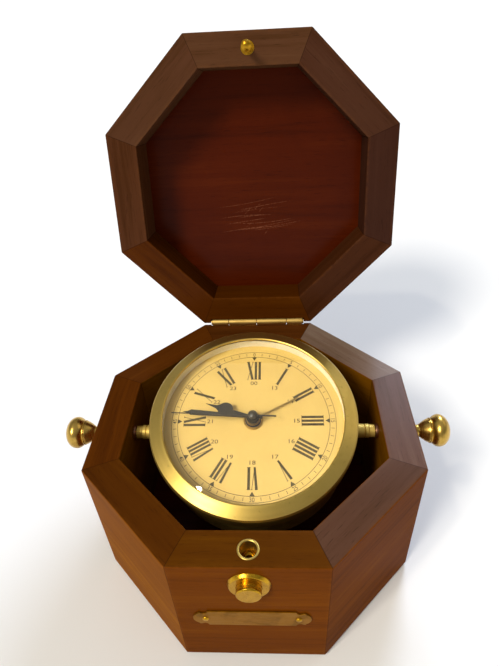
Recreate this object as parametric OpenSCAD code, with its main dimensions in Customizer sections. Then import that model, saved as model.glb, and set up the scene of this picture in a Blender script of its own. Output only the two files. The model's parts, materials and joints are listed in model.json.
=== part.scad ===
// Ship's deck clock: an octagonal mitred box with a hinged lid, and a quartz alarm clock
// head that tilts between two clamping knobs.
// Millimetres, +Z up, +X to the clock's right, front towards -Y.
// Origin: centre of the felt pad's underside. Drawn with the lid open and the head tilted.

/* [Box] */
// Width across two opposite outer faces
box_w = 165; // [164:0.5:168]
// Height of the base, felt pad included
base_h = 83; // [82.5:0.5:84]
// Thickness of the staves
wall = 17; // [16:0.5:17]
// Thickness of the felt pad under the base
felt_t = 1.5; // [1:0.5:2]
// Thickness of the base's bottom panel
bottom_t = 8; // [6:0.5:9]
// Depth of the rebate that takes a panel
rebate = 6; // [4:0.5:7]

/* [Lid] */
// Outer thickness of the lid
lid_t = 31; // [30:0.5:32]
// Depth of the recess inside the lid
lid_recess = 25; // [23:0.5:25]
// Gap between the closed rims
rim_gap = 0.6; // [0.4:0.1:0.8]
// How far the lid stands open
lid_open = 104; // [90:1:104]

/* [Hinge] */
// Radius of the hinge barrel
barrel_r = 2.4; // [2.2:0.1:2.5]
// Radius of the hinge pin
hinge_pin_r = 1.1; // [0.9:0.1:1.2]
// Length of the hinge leaves and barrel
hinge_len = 58; // [56:1:62]
// Height of each leaf on the back face
leaf_h = 16; // [14:0.5:18]

/* [Catch] */
// Height of the push button's axis
button_z = 69.7; // [69.5:0.1:70]
// Radius of the push button
button_r = 5.5; // [5.4:0.05:5.6]
// Travel of the push button
button_travel = 3; // [2.8:0.1:3]
// Radius of the button's round face plate
rosette_r = 9.4; // [9.1:0.1:10]

/* [Clock head] */
// Height of the tilt axis
pivot_z = 71.8; // [71.5:0.1:72]
// Tilt of the dial from level, 12 o'clock side up
tilt = 16.4; // [0:0.1:16.4]
// Outer radius of the bezel
bezel_r = 53.4; // [53.2:0.1:53.8]
// Radius of the bezel's opening
bezel_in = 46.2; // [46:0.1:46.6]
// Outer radius of the cup
cup_r = 50; // [49.8:0.1:50.2]
// Height of the dial's face above the tilt axis
dial_h = 11.8; // [11.7:0.1:11.9]
// Radius of the turned knobs
knob_r = 8.5; // [8:0.25:9]

/* [Hands] */
// Clock angle of the hour hand, clockwise from 12
hour_angle = 289; // [0:0.5:359.5]
// Clock angle of the minute hand
minute_angle = 275; // [0:1:359]
// Clock angle of the second hand
second_angle = 272.5; // [0:0.5:359.5]
// Clock angle of the alarm hand
alarm_angle = 62; // [0:1:359]

/* [Hidden] */

$fn = 64;
eps = 0.01;
fit = 0.05;       // radial clearance of a shaft in its hole

// Box
half_w = box_w / 2;
cavity = half_w - wall;
rebate_apothem = cavity + rebate;
lid_z = base_h + rim_gap;
lid_top = lid_z + lid_t;
panel_t = lid_t - lid_recess;

// Hinge
hinge_y = half_w - 0.2;
hinge_z = base_h + 1.6;
knuckles = [-0.5, -0.317, -0.008, 0.325, 0.5] * hinge_len;
knuckle_gap = 0.2;     // taken off each end of every knuckle
leaf_t = 1.5;
groove_r = barrel_r + 0.25;
leaf_screw_x = [-22, 0, 22];
leaf_screw_r = 1.2;
leaf_screw_head = 2.4;
leaf_screw_len = 11;
base_screw_z = hinge_z - groove_r - leaf_h / 2;
lid_screw_z = hinge_z + groove_r + leaf_h / 2;

// Catch, measured along Y from the front face
stud_y = -half_w + 8.2;
ferrule_r = 4.8;
ferrule_bore = 3.7;
stud_head_r = 2.7;
stud_neck_r = 1.7;
stud_flange_r = 3.6;
stud_shank = 12;
stud_tip_z = button_z;
rosette_t = 1.5;
button_out = 5;
button_cap = 1.7;        // from the button's face to the groove behind its cap
button_groove = 0.4;
sleeve_r = button_r + 1.05;
sleeve_bore = button_r + fit;
collar_bore = button_r + 0.65;
collar_y = -cavity - 4.8;
collar_t = 1.5;
pocket_top = button_z + 2.7;
pocket_bottom = button_z - 2.7;
cap_len = 3.6;
spring_r = 3.6;
spring_wire = 0.35;
spring_turns = 3;

// Name plate
plate_z = 40.6;
plate_w = 53.4;
plate_h = 12.4;
plate_t = 0.8;
plate_pin_x = 21;
plate_pin_r = 0.8;
plate_lobe = 10;         // width of the rounded ears
plate_notch_r = 1.8;

// Clock head, heights measured from the tilt axis along the dial's normal
dial_t = 0.8;
dial_r = cup_r;
cup_t = 1.2;
cup_back = -18;
cup_flange = cup_r + 1.8;
stud_r = 1.95;
spacer_r = 3.7;
spacer_tube_r = 3.4;
bushing_bore_r = stud_r + fit;
bushing_r = 3.9;
bushing_out = 1.4;
bushing_tube_r = bushing_bore_r + 1.6;
knob_end = half_w + 20.3;
crystal_r = 50;
crystal_edge = dial_h + 5.2;
crystal_rise = 7;
crystal_t = 1.4;

// Movement
body_half = 28;
shell = 1.4;
front_top = dial_h - dial_t - 0.6;
back_bottom = -8;
tube_r = 4;
alarm_h = dial_h + 1.8;
hour_h = dial_h + 3.4;
minute_h = dial_h + 4.9;
second_h = dial_h + 6.4;
hand_t = 0.4;
second_arbor = 0.45;
pipe_t = 0.5;
pivot_pin = 0.5;
set_arbor = 0.8;

// Tooth counts and modules: rotor, intermediate, second, third, centre; then the motion
// work and the alarm pair
rotor_n = 8;
inter_n = [48, 10];
second_n = [50, 8];
third_n = [60, 8];
centre_n = [64, 10];
work_n = [30, 8];
hour_n = 32;
alarm_n = 32;
alarm_set_n = 20;
time_set_n = 10;
rotor_m = 0.3;
train_m = 0.36;
centre_m = 0.34;
work_m = 0.5;

// Heights of each wheel's underside, of its top and of the top of its pinion
inter_h = [-0.8, 0, 1.3];
second_wheel_h = [0.3, 1.1, 2.5];
third_h = [1.5, 2.3, 4.2];
centre_h = [3, 3.8, 5.5];
work_h = [4.4, 5.2, 7.2];
hour_wheel_h = [6.2, 7];
alarm_wheel_h = [7.6, 8.4];
arbor_low = -4.3;        // lower ends of the arbors, in the train plate

function polar(d, a) = [d * cos(a), d * sin(a)];
function centres(na, nb, m) = (na + nb) * m / 2;

inter_dir = 200;
rotor_dir = 110;
third_dir = 120;
alarm_set_dir = 50;
inter_at = polar(centres(second_n[0], inter_n[1], train_m), inter_dir);
rotor_at = inter_at + polar(centres(inter_n[0], rotor_n, rotor_m), rotor_dir);
third_at = polar(centres(second_n[1], third_n[0], train_m), third_dir);
work_at = [centres(centre_n[1], work_n[0], work_m), 0];
time_set_at = work_at + [centres(work_n[0], time_set_n, work_m), 0];
alarm_set_at = polar(centres(alarm_n, alarm_set_n, work_m), alarm_set_dir);

battery_r = 7.1;
battery_y = -19.2;
battery_h = 1.2;
coil_y = 21.5;
coil_x = -14;
buzzer_at = [17, 17];
switch_at = [-20, -5];

// ---- shared shapes ----

module octagon(apothem) rotate(22.5) circle(r = apothem / cos(22.5), $fn = 8);

// One stave of a mitred octagon, k eighths of a turn round from the front
module stave(k, h) {
    rotate(k * 45)
        linear_extrude(h)
            polygon([[-half_w * tan(22.5), -half_w], [half_w * tan(22.5), -half_w],
                [cavity * tan(22.5), -cavity], [-cavity * tan(22.5), -cavity]]);
}

module base_stave(k) {
    difference() {
        translate([0, 0, felt_t]) stave(k, base_h - felt_t);
        translate([0, 0, felt_t - eps])
            linear_extrude(bottom_t + eps) octagon(rebate_apothem);
    }
}

module lid_stave(k) {
    difference() {
        translate([0, 0, lid_z]) stave(k, lid_t);
        translate([0, 0, lid_top - panel_t])
            linear_extrude(panel_t + eps) octagon(rebate_apothem);
    }
}

// Turns the closed lid's parts to the open position
module opened() {
    translate([0, hinge_y, hinge_z])
        rotate([-lid_open, 0, 0])
            translate([0, -hinge_y, -hinge_z]) children();
}

// Places the clock head's own frame: origin on the tilt axis, +Z out of the dial
module head() translate([0, 0, pivot_z]) rotate([tilt, 0, 0]) children();

// A cylinder along X from x0 to x1
module x_rod(r, x0, x1, y = 0, z = 0) {
    translate([min(x0, x1), y, z]) rotate([0, 90, 0]) cylinder(r = r, h = abs(x1 - x0));
}

// A cylinder along Y from y0 to y1
module y_rod(r, y0, y1, x = 0, z = 0) {
    translate([x, y0, z]) rotate([-90, 0, 0]) cylinder(r = r, h = y1 - y0);
}

// A straight cylinder from h0 to h1, on an arbor's place
module post(r, h0, h1, at = [0, 0]) translate([at[0], at[1], h0]) cylinder(r = r, h = h1 - h0);

// A countersunk wood screw that points along -Y, its head's face at the origin
module leaf_screw() {
    difference() {
        union() {
            rotate([90, 0, 0]) cylinder(r1 = leaf_screw_head, r2 = leaf_screw_r, h = leaf_t);
            y_rod(leaf_screw_r, -leaf_screw_len, -leaf_t + eps);
        }
        translate([-leaf_screw_head, -0.5, -0.3]) cube([2 * leaf_screw_head, 1, 0.6]);
    }
}

// Holes for the leaf screws, through a leaf and into the wood behind it
module leaf_screw_holes(z) {
    for (x = leaf_screw_x)
        translate([x, half_w, z]) {
            rotate([90, 0, 0])
                cylinder(r1 = leaf_screw_head + fit, r2 = leaf_screw_r + fit, h = leaf_t);
            y_rod(leaf_screw_r + fit, -leaf_screw_len - fit, 1);
        }
}

// The knuckles of one leaf; first is 0 for the base's leaf and 1 for the lid's
module knuckle_set(first) {
    for (i = [first, first + 2])
        x_rod(barrel_r, knuckles[i] + knuckle_gap, knuckles[i + 1] - knuckle_gap,
            hinge_y, hinge_z);
}

module leaf_tabs(first, z0, z1) {
    for (i = [first, first + 2])
        translate([knuckles[i] + knuckle_gap, half_w - leaf_t, z0])
            cube([knuckles[i + 1] - knuckles[i] - 2 * knuckle_gap, leaf_t, z1 - z0]);
}

// Angles of the corner points of one gear tooth, as shares of the tooth pitch
tooth_foot = 0.29;
tooth_tip = 0.12;
addendum = 0.7;
dedendum = 0.95;

// Outline of a spur gear with straight-flanked teeth, one tooth centred on angle a0
module gear_outline(n, m, a0) {
    r = n * m / 2;
    tip = r + addendum * m;
    foot = r - dedendum * m;
    polygon([for (i = [0 : n - 1], p = [[foot, -tooth_foot], [tip, -tooth_tip],
        [tip, tooth_tip], [foot, tooth_foot]]) polar(p[0], a0 + (i + p[1]) * 360 / n)]);
}

// Angle of a tooth on the second gear of a pair, so that the two are in mesh.
// dir points from the first gear's centre to the second's.
function meshed(dir, n1, a1, n2) = dir + 180 - (0.5 - (dir - a1) * n1 / 360) * 360 / n2;

// Height above the cup's reference plane of the crystal's inner face at radius r
function glass_h(r) = crystal_edge + crystal_rise * (1 - pow(r / crystal_r, 2));

// ---- box ----

module base_stave_front() {
    color("saddlebrown")
        difference() {
            base_stave(0);
            y_rod(sleeve_r + fit, -half_w - 1, -cavity + 1, 0, button_z);
            translate([0, stud_y, button_z]) cylinder(r = ferrule_r + fit, h = 20);
            for (x = [-plate_pin_x, plate_pin_x])
                y_rod(plate_pin_r + fit, -half_w - 1, -half_w + 8.1, x, plate_z);
        }
}

module base_stave_back() {
    color("saddlebrown")
        difference() {
            base_stave(4);
            translate([-hinge_len / 2, half_w - leaf_t, hinge_z - groove_r - leaf_h])
                cube([hinge_len, leaf_t + 1, leaf_h + 10]);
            x_rod(groove_r, -hinge_len / 2 - 1, hinge_len / 2 + 1, hinge_y, hinge_z);
            leaf_screw_holes(base_screw_z);
        }
}

module base_side_staves() {
    color("sienna")
        difference() {
            union() {
                base_stave(2);
                base_stave(6);
            }
            x_rod(bushing_tube_r + fit, -half_w - 1, half_w + 1, 0, pivot_z);
        }
}

module base_corner_staves() {
    color("sienna")
        for (k = [1, 3, 5, 7]) base_stave(k);
}

module base_bottom_panel() {
    color("peru")
        translate([0, 0, felt_t]) linear_extrude(bottom_t) octagon(rebate_apothem);
}

module base_felt() {
    color("darkgreen") linear_extrude(felt_t) octagon(half_w - 3);
}

module lid_end_staves() {
    color("saddlebrown")
        opened() difference() {
            union() {
                lid_stave(0);
                lid_stave(4);
            }
            translate([0, stud_y, lid_z - 1])
                cylinder(r = stud_neck_r + fit, h = stud_shank + 1 + fit);
            translate([0, stud_y, lid_z - 1]) cylinder(r = stud_flange_r + fit, h = 1.8);
            x_rod(groove_r, -hinge_len / 2 - 1, hinge_len / 2 + 1, hinge_y, hinge_z);
            translate([-hinge_len / 2, half_w - leaf_t, hinge_z - 1])
                cube([hinge_len, leaf_t + 1, groove_r + leaf_h + 1]);
            leaf_screw_holes(lid_screw_z);
        }
}

module lid_side_staves() {
    color("sienna")
        opened() {
            lid_stave(2);
            lid_stave(6);
        }
}

module lid_corner_staves() {
    color("sienna")
        opened() for (k = [1, 3, 5, 7]) lid_stave(k);
}

module lid_top_panel() {
    color("brown")
        opened() translate([0, 0, lid_top - panel_t])
            linear_extrude(panel_t) octagon(rebate_apothem);
}

// ---- hinge ----

module hinge_leaf_base() {
    color("goldenrod")
        difference() {
            union() {
                knuckle_set(0);
                leaf_tabs(0, hinge_z - groove_r - eps, hinge_z);
                translate([-hinge_len / 2, half_w - leaf_t, hinge_z - groove_r - leaf_h])
                    cube([hinge_len, leaf_t, leaf_h]);
            }
            x_rod(hinge_pin_r + fit, -hinge_len, hinge_len, hinge_y, hinge_z);
            leaf_screw_holes(base_screw_z);
        }
}

module hinge_leaf_lid() {
    color("goldenrod")
        opened() difference() {
            union() {
                knuckle_set(1);
                leaf_tabs(1, hinge_z, hinge_z + groove_r + eps);
                translate([-hinge_len / 2, half_w - leaf_t, hinge_z + groove_r])
                    cube([hinge_len, leaf_t, leaf_h]);
            }
            x_rod(hinge_pin_r + fit, -hinge_len, hinge_len, hinge_y, hinge_z);
            leaf_screw_holes(lid_screw_z);
        }
}

module hinge_pin() {
    color("gold") {
        x_rod(hinge_pin_r, -hinge_len / 2 - 0.3, hinge_len / 2 + 0.3, hinge_y, hinge_z);
        for (side = [-1, 1])
            x_rod(barrel_r - 0.7, side * hinge_len / 2, side * (hinge_len / 2 + 0.6),
                hinge_y, hinge_z);
    }
}

module hinge_screws_base() {
    color("gold")
        for (x = leaf_screw_x) translate([x, half_w, base_screw_z]) leaf_screw();
}

module hinge_screws_lid() {
    color("gold")
        opened() for (x = leaf_screw_x) translate([x, half_w, lid_screw_z]) leaf_screw();
}

// ---- catch ----

module catch_stud() {
    color("gold")
        opened() translate([0, stud_y, 0])
            rotate_extrude()
                polygon([[0, stud_tip_z], [1.6, stud_tip_z + 0.3], [stud_head_r, stud_tip_z + 1.4],
                    [stud_head_r, stud_tip_z + 2], [stud_neck_r, stud_tip_z + 2.5],
                    [stud_neck_r, lid_z - 0.2], [stud_flange_r, lid_z - 0.2],
                    [stud_flange_r, lid_z + 0.8], [stud_neck_r, lid_z + 0.8],
                    [stud_neck_r, lid_z + stud_shank], [0, lid_z + stud_shank]]);
}

module catch_ferrule() {
    color("goldenrod")
        translate([0, stud_y, 0])
            rotate_extrude()
                polygon([[ferrule_bore, button_z + sleeve_r + 0.2],
                    [ferrule_r, button_z + sleeve_r + 0.2], [ferrule_r, base_h],
                    [ferrule_r - 0.3, base_h + 0.2], [ferrule_bore + 0.3, base_h + 0.2],
                    [ferrule_bore, base_h]]);
}

module latch_housing() {
    color("goldenrod")
        difference() {
            union() {
                translate([0, -half_w, button_z]) rotate([90, 0, 0])
                    cylinder(r1 = rosette_r, r2 = rosette_r - 0.9, h = rosette_t);
                y_rod(sleeve_r, -half_w - eps, -cavity, 0, button_z);
            }
            y_rod(sleeve_bore, -half_w - rosette_t - 1, -cavity + 1, 0, button_z);
            y_rod(collar_bore, collar_y - 0.1, -cavity + 1, 0, button_z);
            translate([0, stud_y, button_z]) cylinder(r = ferrule_bore + 0.2, h = 10);
        }
}

module latch_plunger() {
    top = collar_y + half_w + button_out;
    cap_base = top - button_cap;
    hole_y = stud_y - button_travel;
    color("gold")
        difference() {
            union() {
                translate([0, 0, button_z]) rotate([90, 0, 0]) translate([0, 0, -collar_y])
                    rotate_extrude()
                        polygon([[0, 0], [button_r, 0], [button_r, cap_base - button_groove],
                            [button_r - button_groove, cap_base - button_groove],
                            [button_r - button_groove, cap_base], [button_r, cap_base],
                            [button_r, top - 0.5], [button_r - 0.5, top], [0, top]]);
                y_rod(collar_bore - 0.1, collar_y, collar_y + collar_t, 0, button_z);
            }
            translate([-3.1, hole_y - 3.5, pocket_bottom])
                cube([6.2, button_travel + 7.1, pocket_top - pocket_bottom]);
            translate([0, hole_y, button_z]) cylinder(r = 3.4, h = 10);
            translate([0, stud_y, button_z]) cylinder(r = stud_neck_r + 0.3, h = 10);
        }
}

// The return spring: a ring of points swept along a helix
module latch_spring() {
    ring = 8;
    steps = 18 * spring_turns;
    y0 = collar_y + collar_t + spring_wire + fit;
    y1 = -cavity + cap_len - 1 - spring_wire - fit;
    points = [for (i = [0 : steps], k = [0 : ring - 1])
        let (a = 360 * spring_turns * i / steps, b = 360 * k / ring,
            r = spring_r + spring_wire * cos(b))
        [r * cos(a), y0 + (y1 - y0) * i / steps + spring_wire * sin(b), r * sin(a)]];
    sides = [for (i = [0 : steps - 1], k = [0 : ring - 1])
        [i * ring + k, i * ring + (k + 1) % ring, (i + 1) * ring + (k + 1) % ring,
            (i + 1) * ring + k]];
    ends = [[for (k = [ring - 1 : -1 : 0]) k], [for (k = [0 : ring - 1]) steps * ring + k]];
    color("silver") translate([0, 0, button_z]) polyhedron(points, concat(sides, ends));
}

module latch_spring_cap() {
    color("goldenrod")
        difference() {
            union() {
                y_rod(collar_bore + 2.6, -cavity, -cavity + 1, 0, button_z);
                y_rod(collar_bore + 1, -cavity, -cavity + cap_len, 0, button_z);
            }
            y_rod(collar_bore, -cavity - 1, -cavity + cap_len - 1, 0, button_z);
        }
}

// ---- name plate ----

module name_plate() {
    color("darkgoldenrod")
        translate([0, -half_w, plate_z]) rotate([90, 0, 0])
            difference() {
                linear_extrude(plate_t)
                    difference() {
                        union() {
                            square([plate_w - plate_lobe, plate_h], center = true);
                            square([plate_w - plate_lobe / 2, plate_lobe], center = true);
                            for (side = [-1, 1])
                                translate([side * (plate_w - plate_lobe) / 2, 0])
                                    circle(plate_lobe / 2);
                        }
                        for (i = [-1, 1], j = [-1, 1])
                            translate([i * (plate_w - plate_lobe) / 2, j * plate_h / 2])
                                circle(plate_notch_r);
                    }
                for (x = [-plate_pin_x, plate_pin_x])
                    translate([x, 0, -1]) cylinder(r = plate_pin_r + fit, h = plate_t + 2);
            }
}

module name_plate_pins() {
    color("gold")
        for (x = [-plate_pin_x, plate_pin_x])
            translate([x, -half_w, plate_z]) rotate([90, 0, 0])
                rotate_extrude()
                    polygon([[0, -8], [plate_pin_r, -7], [plate_pin_r, plate_t], [1.5, plate_t],
                        [1.4, plate_t + 0.4], [0.9, plate_t + 0.75], [0, plate_t + 0.9]]);
}

// ---- pivots and knobs ----

module pivot_bushings() {
    color("rosybrown")
        for (side = [-1, 1])
            difference() {
                union() {
                    x_rod(bushing_r, side * (cavity - bushing_out), side * cavity, 0, pivot_z);
                    x_rod(bushing_tube_r, side * (cavity - 1), side * (half_w - 0.1), 0, pivot_z);
                }
                x_rod(bushing_bore_r, side * (cavity - 10), side * (half_w + 1), 0, pivot_z);
            }
}

module pivot_studs() {
    color("gold")
        for (side = [-1, 1]) x_rod(stud_r, side * (cup_r - 4), side * (knob_end - 4), 0, pivot_z);
}

module pivot_spacers() {
    step = cup_r + 8.3;
    color("goldenrod")
        head() for (side = [-1, 1])
            difference() {
                union() {
                    x_rod(spacer_r, side * (cup_r + 0.1), side * step);
                    x_rod(spacer_tube_r, side * (step - 1), side * (cavity - bushing_out - 0.35));
                }
                x_rod(stud_r + fit, side * cup_r, side * cavity);
            }
}

// A turned knob on +X: foot flange, waist, flared collar, thin ridge and flattened ball
module turned_knob() {
    foot = half_w + 0.1;
    ball_half = 5.8;
    ball_x = knob_end - ball_half;
    ball_start = 40;
    outline = concat([[0, foot], [4.6, foot], [4.6, foot + 0.8], [3.4, foot + 1.2],
        [3, foot + 3.6], [3.2, foot + 4.2], [4.1, foot + 5.4], [5.3, foot + 7.1],
        [6, foot + 8.4], [6.4, foot + 9.2], [6.3, foot + 9.45], [6.6, foot + 9.6],
        [6.6, foot + 9.95], [6.35, foot + 10.1], [6.35, foot + 10.3]],
        [for (a = [-ball_start : 10 : 90])
            [knob_r * cos(a), ball_x + ball_half * sin(a)]],
        [[0, knob_end]]);
    difference() {
        rotate([0, 90, 0]) rotate_extrude() polygon(outline);
        x_rod(stud_r + fit, foot - 1, knob_end - 3.5);
    }
}

module knob_right() {
    color("gold") translate([0, 0, pivot_z]) turned_knob();
}

module knob_left() {
    color("gold") translate([0, 0, pivot_z]) mirror([1, 0, 0]) turned_knob();
}

// ---- clock head ----

module clock_cup() {
    back_open = 42;
    seat = dial_h - dial_t;
    color("darkgoldenrod")
        head() difference() {
            union() {
                rotate_extrude()
                    polygon([[back_open, cup_back], [cup_r - 3, cup_back],
                        [cup_r - 0.9, cup_back + 0.9], [cup_r, cup_back + 3],
                        [cup_r, seat - cup_t], [cup_flange, seat - cup_t], [cup_flange, seat],
                        [cup_r - cup_t, seat], [cup_r - cup_t, cup_back + 3.4],
                        [cup_r - 3.4, cup_back + cup_t], [back_open, cup_back + cup_t]]);
                for (side = [-1, 1])
                    x_rod(5, side * (cup_r - 4.6), side * (cup_r - 0.6));
            }
            x_rod(stud_r + fit, -cup_r - 1, -cup_r + 10);
            x_rod(stud_r + fit, cup_r - 10, cup_r + 1);
        }
}

module bezel() {
    skirt = cup_flange + 0.2;
    lip = glass_h(bezel_in) + crystal_t + 0.15;
    color("gold")
        head() rotate_extrude()
            polygon([[bezel_in, lip], [bezel_in, lip + 0.75], [bezel_in + 0.6, lip + 1.1],
                [bezel_r - 0.7, dial_h + 6.1], [bezel_r - 0.2, dial_h + 5.8],
                [bezel_r, dial_h + 5.3], [bezel_r, dial_h + 2.8], [bezel_r - 0.7, dial_h + 2.4],
                [bezel_r - 0.7, dial_h - 3.6], [skirt, dial_h - 3.6],
                [skirt, crystal_edge + 0.9], [crystal_r + 0.4, crystal_edge + crystal_t + 0.2]]);
}

module crystal() {
    steps = 14;
    color("lightblue", 0.35)
        head() rotate_extrude()
            polygon(concat(
                [for (i = [0 : steps]) [crystal_r * i / steps, glass_h(crystal_r * i / steps)]],
                [for (i = [steps : -1 : 0])
                    [crystal_r * i / steps, glass_h(crystal_r * i / steps) + crystal_t]]));
}

module crystal_gasket() {
    color("dimgray")
        head() rotate_extrude()
            translate([crystal_r - 2.6, crystal_edge - 0.6]) square([3.4, 0.55]);
}

module reflector_ring() {
    color("gainsboro")
        head() rotate_extrude()
            polygon([[bezel_in + 0.6, dial_h], [crystal_r + 1.5, dial_h],
                [crystal_r + 1.5, crystal_edge - 0.6], [crystal_r - 2.6, crystal_edge - 0.6]]);
}

module dial() {
    color("khaki")
        head() translate([0, 0, dial_h - dial_t])
            difference() {
                cylinder(r = dial_r, h = dial_t, $fn = 96);
                translate([0, 0, -1]) cylinder(r = tube_r + fit, h = dial_t + 2);
            }
}

// ---- movement housing ----

module shell_box(h0, h1) {
    translate([-body_half, -body_half, h0]) cube([2 * body_half, 2 * body_half, h1 - h0]);
}

module inner_box(h0, h1) {
    inside = body_half - shell;
    translate([-inside, -inside, h0]) cube([2 * inside, 2 * inside, h1 - h0]);
}

module movement_front_housing() {
    third_boss = 4.9;
    work_boss = 7.5;
    color("darkslategray")
        head() difference() {
            union() {
                difference() {
                    shell_box(0, front_top);
                    inner_box(-1, front_top - shell);
                }
                post(tube_r, front_top - 1, dial_h + 1.2);
                post(1.2, third_boss, front_top - 1, third_at);
                post(1.2, work_boss, front_top - 1, work_at);
            }
            post(alarm_bore, front_top - shell - 1, dial_h + 2);
            post(pivot_pin + fit, third_boss - 1, third_boss + 1.2, third_at);
            post(pivot_pin + fit, work_boss - 1, front_top - 0.4, work_at);
        }
}

module movement_back_cover() {
    color("darkslategray")
        head() difference() {
            shell_box(back_bottom, 0);
            inner_box(back_bottom + shell, 1);
            translate([-24.8, battery_y - 6.6, back_bottom - 1]) cube([49.6, 13.2, shell + 2]);
            post(set_arbor + fit, back_bottom - 1, 0, alarm_set_at);
            post(set_arbor + fit, back_bottom - 1, 0, time_set_at);
            translate([switch_at[0] - 1.3, switch_at[1] - 3, back_bottom - 1])
                cube([2.6, 7.5, shell + 2]);
        }
}

module train_plate() {
    bush_top = -1.2;
    plate_h0 = -4.4;
    plate_h1 = -3.6;
    color("whitesmoke")
        head() difference() {
            union() {
                translate([-26, -11.6, plate_h0]) cube([52, 28.6, plate_h1 - plate_h0]);
                post(1.3, plate_h1 - eps, bush_top, inter_at);
            }
            post(pivot_pin + fit, plate_h0 - 1, 0, inter_at);
            post(pivot_pin + fit, plate_h0 - 1, 0, rotor_at);
            post(pivot_pin + fit, plate_h0 - 1, 0, third_at);
            post(second_arbor + fit, plate_h0 - 1, 0);
            post(set_arbor + 0.5, plate_h0 - 1, 0, alarm_set_at);
            post(set_arbor + 0.5, plate_h0 - 1, 0, time_set_at);
            post(8.4, plate_h0 - 1, 0, buzzer_at);
        }
}

module centre_nut() {
    color("dimgray")
        head() translate([0, 0, dial_h])
            rotate_extrude()
                polygon([[tube_r + fit, 0], [5, 0], [5, 0.7], [4.7, 1], [tube_r + fit, 1]]);
}

module rubber_washer() {
    color("black")
        head() difference() {
            post(9, front_top, dial_h - dial_t);
            post(tube_r + fit, front_top - 1, dial_h);
        }
}

module battery() {
    color("steelblue")
        head() {
            x_rod(battery_r, -25.2, 24.2, battery_y, battery_h);
            x_rod(2.7, 24, 25.2, battery_y, battery_h);
        }
}

module battery_contacts() {
    color("silver")
        head() for (side = [-1, 1]) {
            translate([side * 26.25 - 0.25, battery_y - 4, battery_h - 4]) cube([0.5, 8, 8]);
            x_rod(2.4, side * 25.25, side * 26.25, battery_y, battery_h);
        }
}

module circuit_board() {
    color("forestgreen") head() translate([-25, 1.5, -6.2]) cube([29, 23, 0.8]);
}

module coil() {
    half = 8;
    color("chocolate")
        head() {
            x_rod(2.8, coil_x - half, coil_x + half, coil_y, -2.2);
            for (side = [-1, 1])
                x_rod(3, coil_x + side * half, coil_x + side * (half + 0.8), coil_y, -2.2);
        }
}

module stator() {
    color("lightsteelblue")
        head() difference() {
            translate([-22, 0.6, -2.6]) cube([14.2, 17.6, 0.8]);
            post(2.9, -3, -1, rotor_at);
            translate([rotor_at[0] - 0.3, rotor_at[1], -3]) cube([0.6, 20, 2]);
        }
}

module buzzer() {
    color("goldenrod")
        head() {
            post(8, -6.4, -3, buzzer_at);
            post(6, -3.1, -2.2, buzzer_at);
        }
}

// ---- wheels ----

// Radii of the nested pipes in the centre tube, from the inside out
minute_bore = second_arbor + fit;
hour_bore = minute_bore + pipe_t + fit;
alarm_pipe_bore = hour_bore + pipe_t + fit;
alarm_bore = alarm_pipe_bore + pipe_t + fit;

// Tooth angles, worked out from the second wheel outwards
second_a = 90 - second_angle;
inter_a = meshed(inter_dir, second_n[0], second_a, inter_n[1]);
rotor_a = meshed(rotor_dir, inter_n[0], inter_a, rotor_n);
third_a = meshed(third_dir, second_n[1], second_a, third_n[0]);
centre_a = meshed(third_dir + 180, third_n[1], third_a, centre_n[0]);
work_a = meshed(0, centre_n[1], centre_a, work_n[0]);
hour_a = meshed(180, work_n[1], work_a, hour_n);
time_set_a = meshed(0, work_n[0], work_a, time_set_n);
alarm_set_a = meshed(alarm_set_dir, alarm_n, 0, alarm_set_n);

module gear(n, m, a0, h0, h1, at = [0, 0]) {
    translate([at[0], at[1], h0]) linear_extrude(h1 - h0) gear_outline(n, m, a0);
}

// A wheel with its pinion on top
module wheel_and_pinion(n, wheel_m, pinion_m, a0, h, at = [0, 0]) {
    gear(n[0], wheel_m, a0, h[0], h[1], at);
    gear(n[1], pinion_m, a0, h[1] - eps, h[2], at);
}

module rotor() {
    color("silver")
        head() {
            post(2.4, -2.8, -1.2, rotor_at);
            post(pivot_pin, arbor_low, 0.5, rotor_at);
            gear(rotor_n, rotor_m, rotor_a, -1.21, 0.2, rotor_at);
        }
}

module intermediate_wheel() {
    color("white")
        head() {
            wheel_and_pinion(inter_n, rotor_m, train_m, inter_a, inter_h, inter_at);
            post(pivot_pin, arbor_low, 0, inter_at);
        }
}

module second_wheel() {
    color("white")
        head() {
            wheel_and_pinion(second_n, train_m, train_m, second_a, second_wheel_h);
            post(second_arbor, arbor_low, second_h + 0.3);
        }
}

module third_wheel() {
    color("white")
        head() {
            wheel_and_pinion(third_n, train_m, centre_m, third_a, third_h, third_at);
            post(pivot_pin, arbor_low, 6, third_at);
        }
}

module centre_wheel() {
    color("white")
        head() difference() {
            union() {
                wheel_and_pinion(centre_n, centre_m, work_m, centre_a, centre_h);
                post(minute_bore + pipe_t, 2.7, minute_h + hand_t);
            }
            post(minute_bore, 0, minute_h + 2);
        }
}

module minute_work_wheel() {
    color("white")
        head() {
            wheel_and_pinion(work_n, work_m, work_m, work_a, work_h, work_at);
            post(pivot_pin, 4.2, 9, work_at);
        }
}

module hour_wheel() {
    color("white")
        head() difference() {
            union() {
                gear(hour_n, work_m, hour_a, hour_wheel_h[0], hour_wheel_h[1]);
                post(hour_bore + pipe_t, 6, hour_h + hand_t);
            }
            post(hour_bore, 5, hour_h + 2);
        }
}

module alarm_wheel() {
    color("white")
        head() difference() {
            union() {
                gear(alarm_n, work_m, 0, alarm_wheel_h[0], alarm_wheel_h[1]);
                post(alarm_pipe_bore + pipe_t, 7.4, alarm_h + hand_t);
            }
            post(alarm_pipe_bore, 7, alarm_h + 2);
        }
}

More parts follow.
